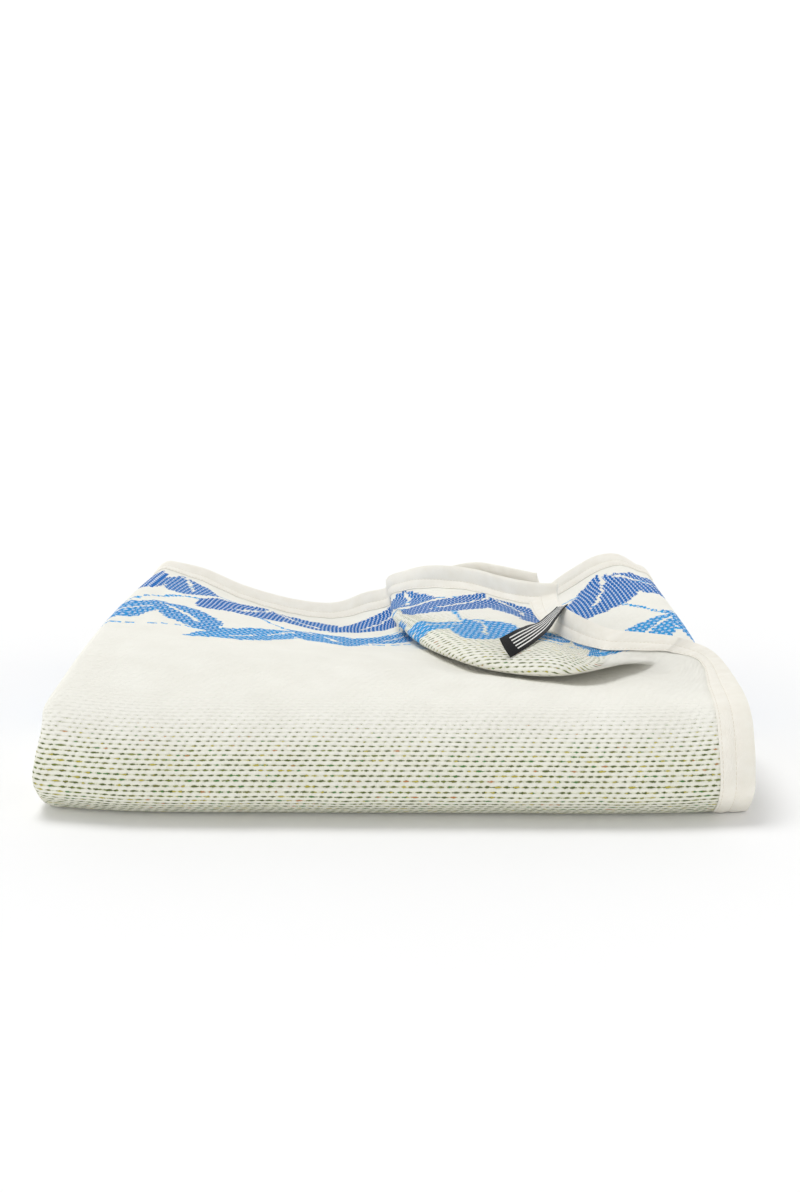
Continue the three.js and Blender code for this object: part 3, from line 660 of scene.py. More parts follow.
@dataclass
class SheetGrid:
    """The towel's middle surface as a grid, columns along its length and lines across its width.

    Attributes:
        insets: Distances from the edges of the grid's outermost lines and columns.
        points: Points of the grid, columns by lines.
        regions: Region of each column.
        lines: Feature line of each point.
        flat: Place of each point on the flat cloth, along its length and across its width.
        normals: Unit normals.
    """

    insets: tuple[float, ...]
    points: np.ndarray = field(init=False)
    regions: list[Region] = field(init=False)
    lines: np.ndarray = field(init=False)
    flat: np.ndarray = field(init=False)
    normals: np.ndarray = field(init=False)

    def __post_init__(self) -> None:
        """Builds the grid, lifts its lowest edges and makes it uneven."""
        columns = self.columns()
        self.regions = [region for region, _ in columns]
        sampled = [self.sample(column) for _, column in columns]
        self.lines = np.array([lines for lines, _ in sampled])
        self.points = np.array([points for _, points in sampled])
        self.relax()
        self.lift_lowest_edges()
        self.measure_flat()
        self.find_normals()
        self.make_uneven()
        self.find_normals()

    def columns(self) -> list[tuple[Region, Column]]:
        """Makes the columns of the whole sheet, from the top layer's side edge to the second layer's.

        Returns:
            The region and the function of each column.
        """
        top = top_layer()
        second = second_layer(top)
        third = third_layer()
        fourth = fourth_layer()
        right_turn = fold_columns(RIGHT_FOLD, fourth.column(PACK_WIDTH), third.column(PACK_WIDTH))
        to_second = self.beside(second, SECOND_SIDE_STATION, SECOND_BETWEEN)
        runs = (
            (Region.TOP, self.beside(top, TOP_SIDE_STATION, TOP_BETWEEN) + self.along(top, TOP_SPANS)),
            (Region.OUTER_FOLD, fold_columns(OUTER_FOLD, top.column(0), fourth.column(0))),
            (Region.FOURTH, self.along(fourth, FOURTH_SPANS)),
            (Region.RIGHT_FOLD, right_turn),
            (Region.THIRD, self.along(third, THIRD_SPANS)),
            (Region.INNER_FOLD, fold_columns(INNER_FOLD, third.column(0), second.column(0))),
            (Region.SECOND, self.along(second, SECOND_SPANS) + to_second[::-1]),
        )
        return [(region, column) for region, columns in runs for column in columns]

    def along(self, layer: Layer, spans: Sequence[tuple[float, float, float]]) -> list[Column]:
        """Columns of a layer over spans of stations with their steps, and at the end of the last."""
        stations = [s for start, end, step in spans for s in spread(start, end, step)]
        return [layer.column(s) for s in (*stations, spans[-1][1])]

    def beside(self, layer: Layer, station: float, shares: Sequence[float]) -> list[Column]:
        """Columns from a layer's side edge inwards, and then by shares of the way to a station."""
        edge = [layer.column_inset(inset) for inset in self.insets]
        return edge + [layer.column_between(self.insets[-1], station, share) for share in shares]

    def sample(self, column: Column) -> tuple[np.ndarray, np.ndarray]:
        """Lines and points of one column: by inset near the back edges and by feature line between.

        Args:
            column: Function from lines to points.

        Returns:
            The lines and their points.
        """
        insets = np.array((*self.insets, self.insets[-1] + BEHIND_TAPE / 2, self.insets[-1] + BEHIND_TAPE))
        fine = 0.025 * np.arange(100)
        ends = []
        for edge, direction in ((Line.LOW_EDGE, 1), (Line.EDGE, -1)):
            points = column(edge + direction * fine)
            gone = np.concatenate([[0], np.cumsum(np.linalg.norm(np.diff(points, axis=0), axis=1))])
            ends.append(edge + direction * np.interp(insets, gone, fine))
        low, high = ends[0], ends[1][::-1]
        middle = np.concatenate([spread(start, end, step) for start, end, step in MIDDLE_SPANS])
        before = np.linspace(low[-1], middle[0], 9)[1:-1]
        after = np.linspace(LAST_MIDDLE_LINE, high[0], 6)[:-1]
        lines = np.concatenate([low, before, middle, after, high])
        return lines, column(lines)

    def ranks(self) -> np.ndarray:
        """Counts the cells between each point and the nearest side of the grid.

        Returns:
            Array of counts, columns by lines.
        """
        wide, deep = self.points.shape[:2]
        i, j = np.meshgrid(np.arange(wide), np.arange(deep), indexing="ij")
        return np.minimum(np.minimum(i, wide - 1 - i), np.minimum(j, deep - 1 - j))

    def lift_lowest_edges(self) -> None:
        """Lifts the lowest layer near its edges, so that the tape under them rests on the ground."""
        lift = TAPE_OUTSIDE - CLOTH_HALF
        fold = [i for i, region in enumerate(self.regions) if region is Region.OUTER_FOLD]
        for i, region in enumerate(self.regions[:fold[-1] + 1]):
            column = self.points[i]
            under = self.lines[i] < FLAT_UP_TO
            near = np.linalg.norm(column - column[0], axis=1)
            share = 1 - max(0, i - fold[0] + 1) / len(fold)
            if region is Region.TOP:
                near = np.minimum(near, np.linalg.norm(column - self.points[0], axis=1))
            column[under, 2] += (lift * smooth_step(LIFT_FROM, LIFT_TO, near) * share)[under]

    def relax(self) -> None:
        """Rounds the chins of all layers, and the turns that the top layer's side edge takes."""
        across = np.linalg.norm(np.diff(self.points, axis=0), axis=2)
        from_edge = np.vstack([np.zeros(self.points.shape[1]), np.cumsum(across, axis=0)])
        for i, region in enumerate(self.regions):
            column, lines = self.points[i], self.lines[i]
            column += (smoothed(column, CHIN_ROUNDING) - column) * CHINS.share(lines)[:, None]
            if region is Region.TOP:
                column += (smoothed(column, ROLL_ROUNDING) - column) * ROLL.share(lines)[:, None]
                lift = ROLL_LIFT * ROLL_UNDERSIDE.share(lines)
                column[:, 2] += lift - TUCK_DROP * BEFORE_ROLL.share(lines)
                near = smooth_step(RELAX_TO, RELAX_FROM, from_edge[i])
                turns = (near * EDGE_TURNS.share(lines))[:, None]
                column += (smoothed(column, EDGE_ROUNDING) - column) * turns

    def measure_flat(self) -> None:
        """Finds each point's place on the flat cloth, from the lengths along lines and columns.

        Both faces of the pack that show keep true lengths: the front from its middle up, and the upper
        part from the edge down. The flat part between the two takes up what is left.
        """
        along = np.linalg.norm(np.diff(self.points, axis=0), axis=2)
        length = np.vstack([np.zeros(along.shape[1]), np.cumsum(along, axis=0)])
        turn = max(i for i, region in enumerate(self.regions) if region is Region.TOP)
        length += length[turn].mean() - length[turn]
        length[turn:] *= CLOTH_LENGTH / length[-1].mean()
        across = np.linalg.norm(np.diff(self.points, axis=1), axis=2)
        width = np.hstack([np.zeros((len(across), 1)), np.cumsum(across, axis=1)])
        nose = int(np.argmin(np.abs(self.lines[0] - Line.NOSE)))
        width -= width[:, nose:nose + 1]
        half = CLOTH_WIDTH / 2
        spare = half - width[:, -1:]
        width = np.where(width < 0, width * half / np.abs(width[:, :1]),
                         width + spare * smooth_step(*SPARE_TAKEN_UP, self.lines))
        self.flat = np.stack([length, width], axis=2)

    def find_normals(self) -> None:
        """Finds unit normals, averaged over the cells around each point."""
        p = self.points
        cells = np.cross(p[1:, 1:] - p[:-1, :-1], p[:-1, 1:] - p[1:, :-1])
        cells /= np.linalg.norm(cells, axis=2, keepdims=True)
        normals = np.zeros_like(p)
        for i in (slice(None, -1), slice(1, None)):
            for j in (slice(None, -1), slice(1, None)):
                normals[i, j] += cells
        self.normals = normals / np.linalg.norm(normals, axis=2, keepdims=True)

    def make_uneven(self) -> None:
        """Moves the top layer along its normals: soft creases, slow waves and puckers by the tape."""
        top = np.array([region is Region.TOP for region in self.regions])
        upper = smooth_step(*UPPER_FROM, self.lines) * top[:, None]
        u, v = self.flat[..., 0], self.flat[..., 1]
        to_edge = np.minimum(CLOTH_WIDTH / 2 - v, u)
        inside = smooth_step(*WAVES_FROM_EDGE, to_edge)
        waves = WAVE_HEIGHT * np.sin(tau * (u / 61 + v / 173)) * np.sin(tau * (v / 83 - u / 310) + 1)
        waves += RIPPLE_HEIGHT * np.sin(tau * (u / 29 + v / 97) + 2) * np.sin(tau * v / 47)
        height = waves * inside
        for crease in CREASES:
            height = height + self.crease_height(crease) * CREASED.share(self.lines) * inside
        height = height * upper * np.where(u < TUCKED_UP_TO, 1 - TUCKED.share(self.lines), 1)
        near_tape = np.exp(-((to_edge - PUCKERS_FROM_EDGE) / PUCKERS_SPREAD) ** 2)
        along_edge = np.where(CLOTH_WIDTH / 2 - v < u, u, v)
        pucker = np.sin(tau * along_edge / PUCKER_LENGTH + 1.3 * np.sin(along_edge / 37))
        height = height + PUCKER_HEIGHT * pucker * near_tape * upper
        self.points = self.points + self.normals * height[..., None]

    def crease_height(self, crease: Crease) -> np.ndarray:
        """Height of one crease at every point of the grid.

        Args:
            crease: Its ends, width and height.

        Returns:
            Array of heights along the normals.
        """
        start, end = np.array(crease.start, float), np.array(crease.end, float)
        run = end - start
        offset = self.points[..., :2] - start
        share = np.clip((offset @ run) / (run @ run), 0, 1)
        away = np.linalg.norm(offset - share[..., None] * run, axis=2)
        return crease.height * np.exp(-(away / crease.width) ** 2) * np.sin(pi * np.clip(share, 0.08, 0.92))

    def openness(self) -> np.ndarray:
        """Finds how far the ribs stand apart: wide where the cloth bends outwards, closed where flat.

        Returns:
            Array of numbers from 0 to 1, columns by lines.
        """
        top = np.array([region is Region.TOP for region in self.regions])[:, None]
        turned_back = smooth_step(*FLAP_REACHES, self.flat[..., 0]) * top
        front = FRONT_OPENNESS * OPEN_FRONT.share(self.lines)
        flap = FLAP_OPENNESS * OPEN_FLAP.share(self.lines) * turned_back
        return np.clip(OPEN_ANYWHERE + front + flap, 0, 1)


def new_piece(name: str, vertices: np.ndarray, faces: list[Sequence[int]]) -> bpy.types.Object:
    """Makes a mesh object at the origin from points in millimetres of the net's own frame.

    Args:
        name: The object's name.
        vertices: Points, one row each.
        faces: Faces as vertex numbers, turned outwards.

    Returns:
        The object, with smooth shading.
    """
    mesh = bpy.data.meshes.new(name)
    mesh.from_pydata(((vertices + FOOTPRINT_SHIFT) * MM).tolist(), [], faces)
    mesh.validate()
    piece = bpy.data.objects.new(name, mesh)
    bpy.context.scene.collection.objects.link(piece)
    mesh.shade_smooth()
    return piece


def cells_of(number: np.ndarray) -> np.ndarray:
    """Lists the cells of a grid.

    Args:
        number: Vertex number of each point, or -1 where there is none.

    Returns:
        Array of the four corners of each cell that has them all.
    """
    corners = [number[:-1, :-1], number[1:, :-1], number[1:, 1:], number[:-1, 1:]]
    cells = np.stack([c.ravel() for c in corners], axis=1)
    return cells[(cells >= 0).all(axis=1)]


def ring_of(number: np.ndarray, inset: int) -> list[int]:
    """Vertex numbers once around the grid, at some cells in from its edge.

    Args:
        number: Vertex numbers, columns by lines.
        inset: Cells from the edge.

    Returns:
        The numbers in order, from the first corner.
    """
    wide, deep = number.shape
    last_i, last_j = wide - 1 - inset, deep - 1 - inset
    ring = [number[i, inset] for i in range(inset, last_i)]
    ring += [number[last_i, j] for j in range(inset, last_j)]
    ring += [number[i, last_j] for i in range(last_i, inset, -1)]
    ring += [number[inset, j] for j in range(last_j, inset, -1)]
    return [int(n) for n in ring]


def thick_sheet(name: str, middle: np.ndarray, offset: np.ndarray) -> bpy.types.Object:
    """Makes a closed sheet around a grid of points.

    Args:
        name: The piece's name.
        middle: Points of the middle surface, columns by lines.
        offset: From the middle surface to the upper face.

    Returns:
        The piece, with the vertices of its upper face before those of its lower one.
    """
    wide, deep = middle.shape[:2]
    number = np.arange(wide * deep).reshape(wide, deep)
    cells = cells_of(number)
    faces = [*cells.tolist(), *(cells[:, ::-1] + wide * deep).tolist()]
    rim = ring_of(number, 0)
    for a, b in zip(rim, rim[1:] + rim[:1]):
        faces.append((a, a + wide * deep, b + wide * deep, b))
    vertices = np.concatenate([(middle + offset).reshape(-1, 3), (middle - offset).reshape(-1, 3)])
    return new_piece(name, vertices, faces)


def set_flat_map(piece: bpy.types.Object, flat: np.ndarray) -> None:
    """Gives a piece the map of its place on the flat cloth, scaled to 0 to 1 both ways.

    Args:
        piece: The piece.
        flat: Length along and width across for each vertex, in millimetres.
    """
    mesh = piece.data
    corners = np.empty(len(mesh.loops), dtype=np.int32)
    mesh.loops.foreach_get("vertex_index", corners)
    scaled = np.stack([flat[:, 0] / CLOTH_LENGTH, flat[:, 1] / CLOTH_WIDTH + 0.5], axis=1)
    layer = mesh.uv_layers.new(name=FLAT_MAP)
    layer.data.foreach_set("uv", scaled[corners].astype(np.float32).ravel())


def set_value(piece: bpy.types.Object, name: str, values: np.ndarray) -> None:
    """Gives each vertex of a piece a number under a name."""
    layer = piece.data.attributes.new(name, "FLOAT", "POINT")
    layer.data.foreach_set("value", values.astype(np.float32).ravel())


FLAT_MAP = "flat_cloth"
OPEN_RIBS = "open_ribs"


def linear(hex_colour: str) -> tuple[float, float, float, float]:
    """Turns a colour to linear.

    Args:
        hex_colour: sRGB hex value, such as 1F4FAE.

    Returns:
        Red, green, blue and a full alpha.
    """
    parts = [int(hex_colour[k:k + 2], 16) / 255 for k in (0, 2, 4)]
    red, green, blue = (c / 12.92 if c <= 0.04045 else ((c + 0.055) / 1.055) ** 2.4 for c in parts)
    return red, green, blue, 1.0


Socket = bpy.types.NodeSocket


@dataclass
class Recipe:
    """The nodes of a material, or of the world, under construction."""

    owner: bpy.types.Material | bpy.types.World

    def __post_init__(self) -> None:
        """Empties the node tree."""
        self.owner.use_nodes = True
        self.owner.node_tree.nodes.clear()

    def add(self, kind: str, *inputs: Any, output: int | str = 0, **named: Any) -> Socket | None:
        """Adds a node with its settings and links.

        Args:
            kind: The node's type, or in capitals an operation of the Math node.
            *inputs: A number, a colour or another node's output for each of the first inputs.
            output: The output that is wanted.
            **named: The node's own settings, and inputs by name: with a capital, and _ for a space.

        Returns:
            The wanted output, or None for the last node of all, which has none.
        """
        tree = self.owner.node_tree
        made = tree.nodes.new("ShaderNode" + ("Math" if kind.isupper() else kind))
        if kind.isupper():
            made.operation = kind
        places: dict[int | str, Any] = dict(enumerate(inputs))
        for name, value in named.items():
            if name[0].isupper():
                places[name.replace("_", " ")] = value
            else:
                setattr(made, name, value)
        for place, value in places.items():
            if isinstance(value, Socket):
                tree.links.new(value, made.inputs[place])
            else:
                made.inputs[place].default_value = value
        return made.outputs[output] if made.outputs else None

    def finish(self, colour: Socket, bump: Socket | None, **sockets: Any) -> bpy.types.Material:
        """Adds the surface shader and the output.

        Args:
            colour: Base colour.
            bump: Height in millimetres for the bump, or None.
            **sockets: Plain values for the shader's own sockets.

        Returns:
            The finished material.
        """
        if bump is not None:
            sockets["Normal"] = self.add("Bump", Height=bump, Distance=MM, Strength=1.0)
        self.add("OutputMaterial", self.add("BsdfPrincipled", Base_Color=colour, **sockets))
        return self.owner


def on_flat_map(r: Recipe, length: float, width: float) -> Socket:
    """Place on the flat map of a piece of a length and a width, in millimetres."""
    place = r.add("UVMap", uv_map=FLAT_MAP)
    return r.add("VectorMath", place, (length, width, 1.0), operation="MULTIPLY")


class Leaf(NamedTuple):
    """One leaf of the border: its middle along and across the repeat, its turn, size and tone."""

    along: float
    across: float
    turn: float
    length: float
    width: float
    tone: float


class Vine(NamedTuple):
    """One stem of the border: its distance from the edge, its swing, phase and half width."""

    distance: float
    swing: float
    phase: float
    half_width: float


@dataclass(frozen=True)
class LeafBorder:
    """Leaf-and-vine border along both long edges, snapped to the weave's own cells.

    Attributes:
        repeat: Length of the repeat along the cloth, in millimetres.
        cell: Size of a cell of the weave, along and across.
        narrowing: How many times narrower the border is near the towel's short ends.
        narrow_from: Distance from the towel's middle at which it starts to narrow.
        narrow_to: Distance from the towel's middle at which it is at its narrowest.
        wobble: How far the outlines wander, from side to side.
        wobble_scale: Turns of that wandering a millimetre.
        bend: How far a leaf's ends bend aside, as a share of its width.
        taper: How much fuller a leaf is at its tip than at its middle.
        midrib: Half width of a leaf's midrib.
        midrib_end: Slope and start of the midrib's far end.
        vines: Its stems.
        leaves: Leaves of one repeat.
    """

    repeat: float = 190.0
    cell: tuple[float, float] = (2.1, 2.65)
    narrowing: float = 1.35
    narrow_from: float = 470.0
    narrow_to: float = 600.0
    wobble: float = 14.0
    wobble_scale: float = 0.05
    bend: float = 0.22
    taper: float = 0.18
    midrib: float = 1.5
    midrib_end: tuple[float, float] = (24.0, -10.0)
    vines: tuple[Vine, ...] = (Vine(122, 34, 0, 2.3), Vine(186, 9, 1.7, 1.0), Vine(54, 4, 0.6, 1.1))
    leaves: tuple[Leaf, ...] = (
        Leaf(22, 70, 58, 98, 54, 1.0),
        Leaf(76, 60, 128, 80, 46, 0.9),
        Leaf(120, 76, 66, 108, 52, 1.0),
        Leaf(168, 54, 104, 66, 42, 0.8),
        Leaf(6, 160, 34, 84, 40, 0.35),
        Leaf(56, 168, 112, 96, 46, 0.3),
        Leaf(104, 182, 48, 104, 42, 0.2),
        Leaf(152, 156, 132, 80, 40, 0.4),
    )

    def ink(self, r: Recipe, along: Socket, across: Socket) -> tuple[Socket, Socket]:
        """Finds the border's blue.

        Args:
            r: The material's nodes.
            along: Place along the cloth, in millimetres.
            across: Place across it.

        Returns:
            Whether a cell of the weave is blue, and how deep that blue is.
        """
        x, y = self.place_in_repeat(r, along, across)
        ink: Socket | float = 0.0
        tone: Socket | float = 0.0
        for leaf in self.leaves:
            inside = r.add("GREATER_THAN", self.leaf_shape(r, leaf, x, y), 0.0)
            ink = r.add("MAXIMUM", ink, inside)
            tone = r.add("MAXIMUM", tone, r.add("MULTIPLY", inside, leaf.tone))
        for vine in self.vines:
            wave = r.add("SINE", r.add("MULTIPLY_ADD", x, tau / self.repeat, vine.phase))
            middle = r.add("MULTIPLY_ADD", wave, vine.swing, vine.distance)
            away = r.add("ABSOLUTE", r.add("SUBTRACT", y, middle))
            ink = r.add("MAXIMUM", ink, r.add("LESS_THAN", away, vine.half_width))
        return ink, tone

    def place_in_repeat(self, r: Recipe, along: Socket, across: Socket) -> tuple[Socket, Socket]:
        """Finds the place in the border's repeat, in steps of the weave's cells.

        Args:
            r: The material's nodes.
            along: Place along the cloth, in millimetres.
            across: Place across it.

        Returns:
            The place along the repeat and from the cloth's edge, with the wobble of the outlines.
        """
        snapped = [r.add("ADD", r.add("SNAP", value, cell), cell / 2)
                   for value, cell in zip((along, across), self.cell)]
        from_middle = r.add("ABSOLUTE", r.add("SUBTRACT", snapped[1], CLOTH_WIDTH / 2))
        to_edge = r.add("SUBTRACT", CLOTH_WIDTH / 2, from_middle)
        to_end = r.add("ABSOLUTE", r.add("SUBTRACT", snapped[0], CLOTH_LENGTH / 2))
        narrowing = r.add("MapRange", Value=to_end, From_Min=self.narrow_from, From_Max=self.narrow_to,
                          To_Min=1.0, To_Max=self.narrowing, interpolation_type="SMOOTHSTEP")
        place = r.add("CombineXYZ", r.add("WRAP", snapped[0], self.repeat, 0.0),
                      r.add("MULTIPLY", to_edge, narrowing))
        noise = r.add("TexNoise", Vector=place, Scale=self.wobble_scale, Detail=2.0, output=1)
        moved = r.add("VectorMath", noise, (self.wobble, self.wobble, 0.0), place,
                      operation="MULTIPLY_ADD")
        moved = r.add("VectorMath", moved, (-self.wobble / 2, -self.wobble / 2, 0.0), operation="ADD")
        return r.add("SeparateXYZ", moved, output=0), r.add("SeparateXYZ", moved, output=1)

    def leaf_shape(self, r: Recipe, leaf: Leaf, x: Socket, y: Socket) -> Socket:
        """Finds how far a place lies inside a leaf, with its midrib and a tip that bends.

        Args:
            r: The material's nodes.
            leaf: The leaf.
            x: Place along the repeat.
            y: Place from the cloth's edge.

        Returns:
            Distance inside the outline, in millimetres.
        """
        turn = radians(leaf.turn)
        lengthwise = (cos(turn) * 2 / leaf.length, sin(turn) * 2 / leaf.length, 0.0)
        start = r.add("SUBTRACT", x, leaf.along - self.repeat / 2)
        offset = r.add("CombineXYZ", r.add("WRAP", start, self.repeat, 0.0), y)
        centred = r.add("VectorMath", offset, (self.repeat / 2, leaf.across, 0.0), operation="SUBTRACT")
        length = r.add("VectorMath", centred, lengthwise, output=1, operation="DOT_PRODUCT")
        sideways = r.add("VectorMath", centred, (-sin(turn), cos(turn), 0.0), output=1,
                         operation="DOT_PRODUCT")
        square = r.add("MULTIPLY", length, length)
        away = r.add("ABSOLUTE", r.add("MULTIPLY_ADD", square, leaf.width * self.bend, sideways))
        taper = r.add("MULTIPLY_ADD", length, self.taper, 1.0)
        full = r.add("MULTIPLY", r.add("SUBTRACT", 1.0, square), taper)
        outline = r.add("SUBTRACT", r.add("MULTIPLY", full, leaf.width / 2), away)
        vein = r.add("MAXIMUM", r.add("SUBTRACT", away, self.midrib),
                     r.add("MULTIPLY_ADD", length, *self.midrib_end))
        return r.add("MINIMUM", outline, vein)


@dataclass(frozen=True)
class Weave:
    """Places in the weave, as outputs of nodes.

    Attributes:
        mm: Place on the flat cloth, in millimetres.
        along: Its part along the cloth.
        across: Its part across the cloth.
        in_rib: Place across a rib, from -0.5 to 0.5.
        in_stitch: Place along a stitch, from -0.5 to 0.5.
        open_ribs: How far the ribs stand apart.
    """

    mm: Socket
    along: Socket
    across: Socket
    in_rib: Socket
    in_stitch: Socket
    open_ribs: Socket


@dataclass(frozen=True)
class RibbedCotton:
    """Double-faced cotton, woven in ribs with a jacquard border, and washed soft.

    Ribs 2.65 mm apart run along the towel, of slanted stitches 4.85 mm long, each row a third further on.
    Coloured picks lie between them, and show as flecks where the cloth bends and the ribs open. It looks
    matt and a little fuzzy.
    """

    rib: float = 2.65
    stitch: float = 4.85
    rib_height: float = 0.8
    # Shift from row to row, lean over the rib and stray of the stitches, as shares of a stitch.
    stagger: float = 0.32
    slant: float = 0.06
    stray: float = 1.1
    # Width of the deep blue's zigzag columns, their swing as a share of it, and the light blue's dots.
    column: float = 2.9
    zigzag: float = 0.42
    dot: float = 4.0
    # Features a millimetre: of the straying, shade, runs of like flecks, fraying, fuzz and specks.
    stray_scale: float = 0.16
    shade_scale: float = 0.035
    run_scale: float = 0.09
    fray_scale: float = 1.1
    fuzz_scale: float = 1.3
    speck_scale: float = 0.5
    cream: str = "F3F2EA"
    cream_shade: str = "E7E5DB"
    # Cream beside the gaps between ribs: darker for painted shade in the hollows, and greener for the picks
    # showing.
    cream_shaded_by_gap: str = "E2E3CA"
    white_yarn: str = "F4FAFF"
    deep_blue: str = "0068BC"
    light_blue: str = "22AEF0"
    # Colours of the flecks, each from a chance on.
    flecks: tuple[tuple[float, str], ...] = (
        (0.0, "4A5914"), (0.34, "66741C"), (0.58, "37772B"), (0.68, "B4A930"), (0.78, "6B6D22"),
        (0.9, "8A9148"), (0.97, "B8763A"),
    )
    border: LeafBorder = LeafBorder()

    def build(self) -> bpy.types.Material:
        """Makes the material.

        Returns:
            The material, on the flat map of the cloth.
        """
        r = Recipe(bpy.data.materials.new("ribbed_cotton_jacquard"))
        weave = self.weave(r)
        outside, dome = self.stitch_shape(r, weave)
        plain = self.plain_colour(r, weave, outside)
        depth = r.add("MULTIPLY_ADD", weave.open_ribs, 0.75, 0.25)
        ink, tone = self.border.ink(r, weave.along, weave.across)
        yarn, lift = self.blue_yarns(r, weave, tone)
        colour = r.add("Mix", Factor=ink, A=plain, B=yarn, output=2, data_type="RGBA")
        height = r.add("Mix", Factor=ink, A=r.add("MULTIPLY", dome, depth), B=lift, data_type="FLOAT")
        fuzz = r.add("TexNoise", Vector=weave.mm, Scale=self.fuzz_scale, Detail=3.0, Roughness=0.7)
        height = r.add("MULTIPLY_ADD", fuzz, 0.35, height)
        height = r.add("MULTIPLY", height, self.rib_height)
        return r.finish(colour, height, Roughness=0.95, Specular_IOR_Level=0.15, Sheen_Weight=0.06,
                        Sheen_Roughness=0.6)

    def weave(self, r: Recipe) -> Weave:
        """Finds the places in the weave.

        Args:
            r: The material's nodes.

        Returns:
            The places.
        """
        mm = on_flat_map(r, CLOTH_LENGTH, CLOTH_WIDTH)
        along, across = r.add("SeparateXYZ", mm, output=0), r.add("SeparateXYZ", mm, output=1)
        in_rib = self.in_cell(r, r.add("MULTIPLY", across, 1 / self.rib))
        stitches = r.add("MULTIPLY", along, 1 / self.stitch)
        leaning = r.add("MULTIPLY_ADD", across, self.stagger / self.rib, stitches)
        slanted = r.add("MULTIPLY_ADD", in_rib, self.slant, leaning)
        wander = r.add("TexNoise", Vector=mm, Scale=self.stray_scale, Detail=2.0)
        in_stitch = self.in_cell(r, r.add("MULTIPLY_ADD", wander, self.stray, slanted))
        open_ribs = r.add("Attribute", output="Fac", attribute_name=OPEN_RIBS)
        return Weave(mm, along, across, in_rib, in_stitch, open_ribs)

    def in_cell(self, r: Recipe, value: Socket) -> Socket:
        """Place within a cell, from -0.5 to 0.5."""
        return r.add("SUBTRACT", r.add("FRACT", value), 0.5)

    def off_middle(self, r: Recipe, place: Socket, power: float) -> Socket:
        """How far a place lies off the middle of its cell: 0 there, and 1 at the sides."""
        away = r.add("ABSOLUTE", r.add("MULTIPLY", place, 2.0))
        return r.add("POWER", away, power)

    def ridge(self, r: Recipe, place: Socket, power: float) -> Socket:
        """Rounded ridge over a cell: 1 at its middle and 0 at its sides."""
        return r.add("SUBTRACT", 1.0, self.off_middle(r, place, power))

    def stitch_shape(self, r: Recipe, weave: Weave) -> tuple[Socket, Socket]:
        """Finds the rounded shape of the stitches, frayed a little.

        Args:
            r: The material's nodes.
            weave: Places in the weave.

        Returns:
            How far a place lies out of its stitch, most between rows by the ends, and the stitch's
            height.
        """
        between_rows = self.off_middle(r, weave.in_rib, 1.7)
        by_end = self.off_middle(r, weave.in_stitch, 1.5)
        both = r.add("MULTIPLY", between_rows, r.add("MULTIPLY_ADD", by_end, 0.75, 0.55))
        frayed = r.add("TexNoise", Vector=weave.mm, Scale=self.fray_scale, Detail=3.0)
        outside = r.add("ADD", both, r.add("MULTIPLY_ADD", frayed, 0.7, -0.35))
        low = r.add("MULTIPLY_ADD", by_end, 0.4, outside)
        return outside, r.add("POWER", r.add("SUBTRACT", 1.0, low, use_clamp=True), 0.6)

    def plain_colour(self, r: Recipe, weave: Weave, outside: Socket) -> Socket:
        """Colours the cream ribs, with the flecks of the coloured picks between them, and painted shade
        beside the gaps.

        Args:
            r: The material's nodes.
            weave: Places in the weave.
            outside: How far a place lies out of its stitch.

        Returns:
            The colour.
        """
        patches = r.add("TexNoise", Vector=weave.mm, Scale=self.shade_scale, Detail=3.0)
        cream = r.add("Mix", Factor=patches, A=linear(self.cream), B=linear(self.cream_shade), output=2,
                      data_type="RGBA")
        half_rows = r.add("MULTIPLY_ADD", weave.across, 1 / self.rib, 0.5)
        picks = r.add("MULTIPLY", weave.along, 1 / self.stitch)
        cell = r.add("CombineXYZ", r.add("FLOOR", picks), r.add("FLOOR", half_rows))
        chance = r.add("TexWhiteNoise", Vector=cell, noise_dimensions="2D")
        runs = r.add("TexNoise", Vector=weave.mm, Scale=self.run_scale, Detail=2.0)
        fleck = self.fleck_colour(r, r.add("ADD", chance, r.add("MULTIPLY_ADD", runs, 0.5, -0.25)))
        second_chance = r.add("TexWhiteNoise", Vector=cell, output=1, noise_dimensions="2D")
        width = r.add("SeparateColor", second_chance, output=1)
        closed = r.add("MULTIPLY_ADD", weave.open_ribs, -1.14, 1.6)
        past = r.add("SUBTRACT", outside, r.add("MULTIPLY_ADD", width, 0.18, closed))
        gap = r.add("MapRange", Value=past, From_Min=-0.06, From_Max=0.14,
                    interpolation_type="SMOOTHSTEP")
        # Painted shade: where the ribs open, the cream beside each gap turns darker and greener, partly the
        # hollow's shade and partly the picks' tint.
        beside = r.add("MapRange", Value=past, From_Min=-0.6, From_Max=0.0)
        gap_shade = r.add("MULTIPLY", beside, weave.open_ribs)
        cream = r.add("Mix", Factor=gap_shade, A=cream, B=linear(self.cream_shaded_by_gap), output=2,
                      data_type="RGBA")
        mask = r.add("MULTIPLY", gap, 0.94)
        return r.add("Mix", Factor=mask, A=cream, B=fleck, output=2, data_type="RGBA")

    def fleck_colour(self, r: Recipe, pick: Socket) -> Socket:
        """Colours a fleck: mostly olive and dark green, some yellow, and a little orange.

        Args:
            r: The material's nodes.
            pick: The fleck's chance, from 0 to 1.

        Returns:
            The colour.
        """
        colour = r.add("ValToRGB", pick)
        ramp = colour.node.color_ramp
        ramp.interpolation = "CONSTANT"
        ramp.elements[1].position = self.flecks[1][0]
        for place, _ in self.flecks[2:]:
            ramp.elements.new(place)
        for element, (_, shade) in zip(ramp.elements, self.flecks):
            element.color = linear(shade)
        return colour

